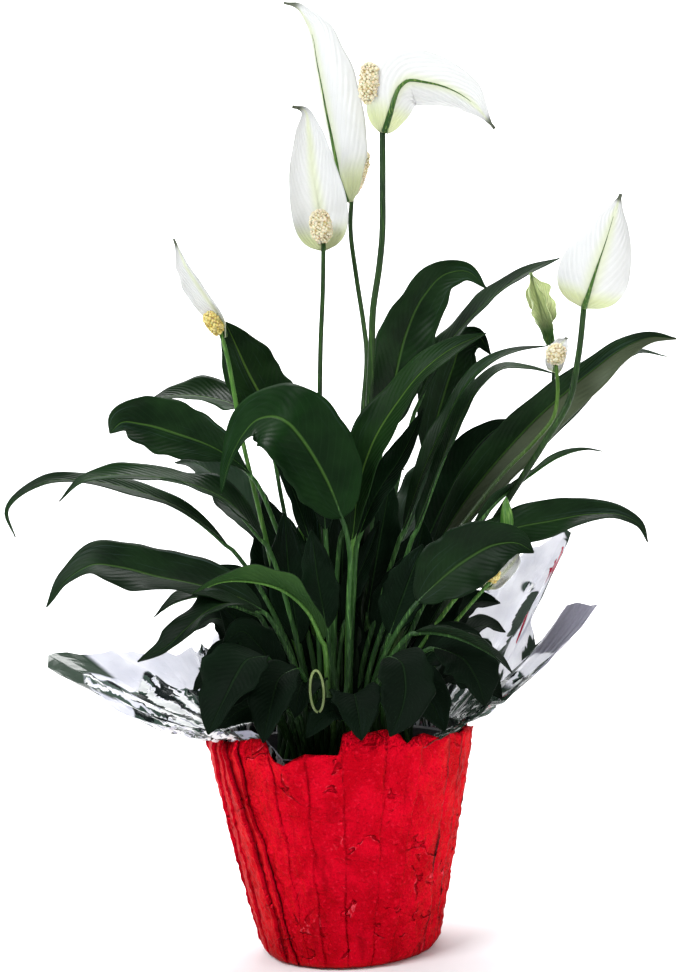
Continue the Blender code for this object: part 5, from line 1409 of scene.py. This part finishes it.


# Painted shade along each pinch, and a painted pink glint beside it.
shaded_pinch = pinch_line(0.5, 0.004, 0.030)
glint = times(tree, pinch_line(0.533, 0.002, 0.012), ramp(tree, hammered, 0.45, 0.6))
colour = mix_colours(tree, times(tree, shaded_pinch, 0.5), colour, PINCH_SHADE_RED)
colour = mix_colours(tree, times(tree, glint, 0.55), colour, GLINT_PINK)
# Painted shade in the tucks.
colour = mix_colours(tree, times(tree, ramp(tree, deep, 0.1, 0.8), 0.92), colour, TUCK_SHADE)
tree.links.new(colour, shader.inputs["Base Color"])
tree.links.new(math_node(tree, "MULTIPLY_ADD", hammered, 0.24, 0.22), shader.inputs["Roughness"])
height = math_node(tree, "MULTIPLY_ADD", crumple, 0.5, times(tree, hammered, 0.25))
height = math_node(tree, "MULTIPLY_ADD", shaded_streaks, -0.3, height)
height = math_node(tree, "MULTIPLY_ADD", shaded_pinch, -0.3, height)
bump(tree, shader, height, 0.0042)
piece = finish_piece(bm, "foil_wrap", [red_foil])
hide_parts("foil_cover")
print("foil material nodes:", len(tree.nodes))

# %% [markdown]
# A sheet of printed clear film is tucked between the pot and the cover and spreads over the rim
# in loose corners. It is one grid laid round the pot. Its outline goes from corner to corner in
# straight lines, as cut film does, and sharp folds run out from the neck: they come from the
# absolute value of noise that is stretched lengthwise.
# %% Film shape
FILM_NECK_RADIUS = 74.8 * MM
FILM_NECK_HEIGHT = 135 * MM
FILM_LOW = 118.5 * MM
FILM_THICKNESS = 0.2 * MM
FILM_LOOSE_WIDTH = 30 * MM
FILM_SIDES = 260
FILM_ROWS = 34
FILM_NECK_ROWS = 4
# Corners and dips of the film's edge: degrees, reach and height in millimetres.
FILM_EDGE = [
    (-30, 92, 141), (-23, 106, 153), (-17, 116, 159), (-10, 131, 168), (-5, 148, 186), (-3, 166, 206),
    (1, 156, 207), (3, 148, 204), (6, 141, 190), (8, 130, 176), (12, 130, 198), (16, 146, 212),
    (18, 163, 236), (21, 175, 250), (25, 168, 249), (30, 156, 240), (36, 134, 222), (42, 112, 190),
    (60, 96, 158), (90, 112, 172), (118, 150, 200), (140, 112, 184), (150, 112, 186), (161, 124, 182),
    (171, 148, 188), (178, 182, 189), (183, 180, 186), (186, 158, 172), (195, 134, 155), (202, 122, 147),
    (211, 109, 146), (218, 98, 146), (224, 86, 146), (230, 79, 144), (236, 77, 140), (244, 77, 128),
    (300, 78, 126), (314, 83, 133), (330, 92, 141)]


def film_edge(degrees):
    """Reach and height of the film's edge, in metres."""
    degrees = (degrees + 30) % 360 - 30
    reach = between([(stop[0], stop[1]) for stop in FILM_EDGE], degrees)
    height = between([(stop[0], stop[2]) for stop in FILM_EDGE], degrees)
    return reach * MM, height * MM


def film_place(u, row):
    """A point of the film: up the neck first, then out over the rim."""
    turn = math.pi * (u + 1)
    outward = Vector((math.cos(turn), math.sin(turn), 0))
    edge, top = film_edge(math.degrees(turn))
    neck = min(FILM_NECK_HEIGHT, top - 1 * MM)
    if row <= FILM_NECK_ROWS:
        height = FILM_LOW + (neck - FILM_LOW) * row / FILM_NECK_ROWS
        return outward * FILM_NECK_RADIUS + Vector((0, 0, height))
    share = (row - FILM_NECK_ROWS) / (FILM_ROWS - FILM_NECK_ROWS)
    reach = FILM_NECK_RADIUS + (edge - FILM_NECK_RADIUS) * share
    height = neck + (top - neck) * share**1.3
    folds = abs(noise.noise(Vector((math.cos(turn) * 8, math.sin(turn) * 8, share * 0.8))))
    small = abs(noise.noise(Vector((math.cos(turn) * 24, math.sin(turn) * 24, share * 2.5))))
    sharp = noise.noise(Vector((math.cos(turn) * 70, math.sin(turn) * 70, share * 9)))
    loose = min(share * 5, 1) * min((edge - FILM_NECK_RADIUS) / FILM_LOOSE_WIDTH, 1)
    calm = 1 - 0.6 * share
    height += (10 * (0.25 - folds) + 7 * (0.2 - small) * calm + 1.5 * sharp * calm) * loose * MM
    reach += (0.2 - small) * 4 * loose * calm * MM
    return outward * reach + Vector((0, 0, height))


bm = new_sheet()
laid_grid(bm, FILM_SIDES, FILM_ROWS, film_place)
bmesh.ops.remove_doubles(bm, verts=bm.verts, dist=SEAM_GAP)
bm.normal_update()
bmesh.ops.solidify(bm, geom=list(bm.faces), thickness=FILM_THICKNESS)
print("film faces:", len(bm.faces))

# %% [markdown]
# The film's material is made of masks. Voronoi cells that are stretched and a little bent give
# both its print and the painted reflections of its facets. A random number per cell decides
# whether a leaf shape is printed, and another which painted reflection a facet gets. Two more
# helpers pick out places on the sheet, and one joins masks.
# %% Film mask helpers
film, tree, shader = new_material("printed_film", Specular_IOR_Level=0.25, Coat_Weight=0.1,
                                  Coat_Roughness=0.05)
film_uv = add_node(tree, "UVMap").outputs["UV"]
parts = add_node(tree, "SeparateXYZ", {0: film_uv})
round_pot, outwards = parts.outputs["X"], parts.outputs["Y"]


def film_cells(scale, turn):
    """Stretched Voronoi cells over the film, their edges bent a little by noise."""
    bend = add_node(tree, "TexNoise", {"Vector": film_uv, "Scale": 22, "Detail": 2})
    shift = add_node(tree, "VectorMath", {0: bend.outputs["Color"], 1: (0.012, 0.12, 0)},
                     operation="MULTIPLY")
    where = add_node(tree, "VectorMath", {0: film_uv, 1: shift.outputs["Vector"]}, operation="ADD")
    laid = add_node(tree, "Mapping", {"Vector": where.outputs["Vector"], "Scale": scale,
                                      "Rotation": (0, 0, turn)})
    return add_node(tree, "TexVoronoi", {"Vector": laid.outputs["Vector"], "Scale": 1, "Randomness": 0.9},
                    voronoi_dimensions="2D")


def cell_number(cells):
    """A random number from 0 to 1 for each cell."""
    return add_node(tree, "SeparateXYZ", {0: cells.outputs["Color"]}).outputs["X"]


def printed(scale, turn, low, high, keep):
    """A mask of leaf shapes, each printed or left out at random."""
    cells = film_cells(scale, turn)
    shape = inverse(tree, ramp(tree, cells.outputs["Distance"], low, high))
    return times(tree, shape, math_node(tree, "GREATER_THAN", cell_number(cells), keep))


def stretch_of(value, start, end, soft):
    """A mask that is 1 between two values, with soft ends."""
    begun = ramp(tree, value, start - soft, start)
    return times(tree, begun, inverse(tree, ramp(tree, value, end, end + soft)))


def either(*masks):
    """The strongest of some masks."""
    joined = masks[0]
    for mask in masks[1:]:
        joined = math_node(tree, "MAXIMUM", joined, mask)
    return joined


def outside_of(value, low, high):
    """A mask that is 1 below the low value and above the high one."""
    return either(math_node(tree, "GREATER_THAN", value, high), math_node(tree, "LESS_THAN", value, low))


# %% [markdown]
# The film is clear and very glossy. Crumpled, it breaks into long facets that mirror either the
# white surroundings or the dark leaves; these reflections are painted in as black, dark green
# and white slivers on its silver. Its print is a loose scatter of dark grey-green leaf shapes
# with a few red dabs, with solid green and grey-violet parts at the corners. Places round the
# pot are shares of a turn that starts on the right and goes by way of the back.
# %% Film material
LEFT_START = 0.40
LEFT_MIDDLE = 0.49
LEFT_END = 0.62
RIGHT_START = 0.960
RIGHT_END = 0.015
SILVER = (0.42, 0.43, 0.53, 1)
PALE_SILVER = (0.66, 0.66, 0.74, 1)
RIBBON_GREY = (0.30, 0.29, 0.36, 1)
SOLID_GREEN = (0.022, 0.046, 0.028, 1)
LEAF_PRINT = (0.036, 0.056, 0.040, 1)
DAB_RED = (0.40, 0.02, 0.05, 1)
MIRRORED_WHITE = (0.85, 0.86, 0.86, 1)
MIRRORED_LEAVES = (0.045, 0.075, 0.060, 1)
NEAR_BLACK = (0.006, 0.010, 0.010, 1)

# Leaf shapes and dabs lie beyond the rim, and leave out the left side and the right corner.
beyond = ramp(tree, outwards, 0.35, 0.5)
plain = either(stretch_of(round_pot, LEFT_START, LEFT_END, 0.01),
               inverse(tree, stretch_of(round_pot, RIGHT_END, RIGHT_START, 0.003)))
leaves = times(tree, printed((40, 3.0, 1), 0.45, 0.29, 0.32, 0.42), beyond)
leaves = times(tree, leaves, inverse(tree, plain))
away = inverse(tree, stretch_of(round_pot, 0.3, 0.85, 0.02))
dabs = times(tree, printed((60, 8, 1), -0.5, 0.24, 0.27, 0.84), beyond)
dabs = times(tree, dabs, math_node(tree, "MINIMUM", away, inverse(tree, plain)))

# Painted reflections come as slivers where the film is crumpled, which is most on the left and at the front
# right.
fine = cell_number(film_cells((360, 9, 1), -0.3))
sliver = math_node(tree, "ADD", cell_number(film_cells((170, 5, 1), 0.25)),
                   math_node(tree, "MULTIPLY_ADD", fine, 0.5, -0.25))
far_left = times(tree, stretch_of(round_pot, LEFT_START, LEFT_MIDDLE, 0.01),
                 inverse(tree, ramp(tree, outwards, 0.55, 0.72)))
front_left = either(far_left, stretch_of(round_pot, LEFT_MIDDLE, LEFT_END, 0.006))
near_right = stretch_of(round_pot, 0.93, 0.985, 0.006)
corner = times(tree, stretch_of(round_pot, 0.484, 0.52, 0.003), ramp(tree, outwards, 0.80, 0.82))
crumpled = math_node(tree, "MULTIPLY_ADD", outwards, -0.6, 0.30)
crumpled = math_node(tree, "ADD", speckle(tree, 24, 1), crumpled)
crumpled = math_node(tree, "ADD", crumpled, times(tree, front_left, 0.35))
crumpled = math_node(tree, "ADD", crumpled, times(tree, near_right, 0.30))
crumpled = times(tree, ramp(tree, crumpled, 0.47, 0.50), inverse(tree, corner))
black = times(tree, math_node(tree, "LESS_THAN", sliver, 0.32), crumpled)
dark = times(tree, math_node(tree, "LESS_THAN", sliver, 0.54), crumpled)
white = times(tree, math_node(tree, "GREATER_THAN", sliver, 0.68), crumpled)

# The right corner is a grey ribbed ribbon with a dark knot, and solid green beside it.
ribbon = times(tree, outside_of(round_pot, 0.012, 0.966), ramp(tree, outwards, 0.72, 0.74))
knot_side = times(tree, stretch_of(round_pot, 0.953, 0.968, 0.002), stretch_of(outwards, 0.62, 0.96, 0.02))
knot_foot = times(tree, stretch_of(round_pot, 0.960, 0.992, 0.003), stretch_of(outwards, 0.60, 0.72, 0.02))
knot = either(knot_side, knot_foot)
beside = times(tree, outside_of(round_pot, 0.07, 0.88), inverse(tree, ramp(tree, outwards, 0.46, 0.52)))
green = either(stretch_of(round_pot, 0.86, 0.952, 0.006), beside)

base = mix_colours(tree, ramp(tree, speckle(tree, 30, 2), 0.35, 0.65), SILVER, PALE_SILVER)
base = mix_colours(tree, ribbon, base, RIBBON_GREY)
base = mix_colours(tree, green, base, SOLID_GREEN)
base = mix_colours(tree, either(leaves, corner), base, LEAF_PRINT)
base = mix_colours(tree, dabs, base, DAB_RED)
# Painted reflections: white and dark-leaf slivers, then black slivers, which share their colour with the
# real dark knot.
base = mix_colours(tree, times(tree, white, inverse(tree, green)), base, MIRRORED_WHITE)
base = mix_colours(tree, dark, base, MIRRORED_LEAVES)
base = mix_colours(tree, either(black, knot), base, NEAR_BLACK)
tree.links.new(base, shader.inputs["Base Color"])
cover = either(leaves, dabs, corner, ribbon, green, dark, knot, white)
tree.links.new(math_node(tree, "MULTIPLY_ADD", cover, 0.36, 0.6), shader.inputs["Alpha"])
tree.links.new(math_node(tree, "MULTIPLY_ADD", speckle(tree, 60, 1), 0.12, 0.06), shader.inputs["Roughness"])
ribs = times(tree, math_node(tree, "SINE", times(tree, round_pot, 1900)), 0.5)
bump(tree, shader, math_node(tree, "MULTIPLY_ADD", sliver, 0.8, times(tree, ribs, ribbon)), 0.0012)
print("film material nodes:", len(tree.nodes))
piece = finish_piece(bm, "film_sheet", [film], smooth=False)
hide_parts("film_collar")

# %% [markdown]
# The stage is a pale sheet that runs back and curves up, so no horizon shows. Three soft lamps
# light the plant: a large one high on the left that gives the leaves their sheen, a weaker one on
# the right, and one behind that brightens the sheet, as in a picture taken on a light table.
# %% Stage and lights
SHEET_HALF_WIDTH = 4
SHEET_LENGTH = 7
SHEET_FRONT = -3
BACK = 1.6
BEND = 0.7
LAMPS = [
    ("key", (-1.0, -1.1, 1.5), (0, 0, 0.25), 0.8, 32, (0.95, 0.98, 1.0)),
    ("fill", (1.3, -1.1, 0.7), (0, 0, 0.2), 1.0, 10, (1.0, 0.98, 0.96)),
    ("back", (0, 0.9, 2.3), (0, 2.3, 0.5), 1.6, 130, (1.0, 1.0, 1.0))]

stage_look, tree, shader = new_material("pale_paper", Roughness=0.9, Specular_IOR_Level=0.1)
tone = mix_colours(tree, ramp(tree, speckle(tree, 3), 0.3, 0.7), (0.90, 0.90, 0.905, 1),
                   (0.92, 0.92, 0.925, 1))
tree.links.new(tone, shader.inputs["Base Color"])
bm = bmesh.new()
bmesh.ops.create_grid(bm, x_segments=2, y_segments=40, size=1)
for vert in bm.verts:
    along = (vert.co.y + 1) / 2 * SHEET_LENGTH + SHEET_FRONT
    vert.co.x *= SHEET_HALF_WIDTH
    vert.co.y = along
    if along > BACK:
        angle = min((along - BACK) / BEND, math.pi / 2)
        vert.co.y = BACK + BEND * math.sin(angle)
        vert.co.z = BEND * (1 - math.cos(angle)) + max(along - BACK - BEND * math.pi / 2, 0)
mesh = bpy.data.meshes.new("stage")
for face in bm.faces:
    face.smooth = True
bm.to_mesh(mesh)
bm.free()
mesh.materials.append(stage_look)
backdrop = bpy.data.objects.new("stage", mesh)
bpy.context.scene.collection.objects.link(backdrop)


def soft_lamp(name, place, target, size, power, colour):
    """A square soft lamp that faces a point."""
    data = bpy.data.lights.new(name, "AREA")
    data.size = size
    data.energy = power
    data.color = colour
    lamp = bpy.data.objects.new(name, data)
    bpy.context.scene.collection.objects.link(lamp)
    lamp.location = place
    lamp.rotation_euler = (Vector(target) - Vector(place)).to_track_quat("-Z", "Y").to_euler()


for lamp in LAMPS:
    soft_lamp(*lamp)
world = bpy.data.worlds.new("studio")
bpy.context.scene.world = world
world.use_nodes = True
world.node_tree.nodes["Background"].inputs["Color"].default_value = (0.95, 0.97, 1.0, 1)
world.node_tree.nodes["Background"].inputs["Strength"].default_value = 0.42
bpy.context.scene.view_settings.view_transform = "Standard"
print("lamps:", len(LAMPS))
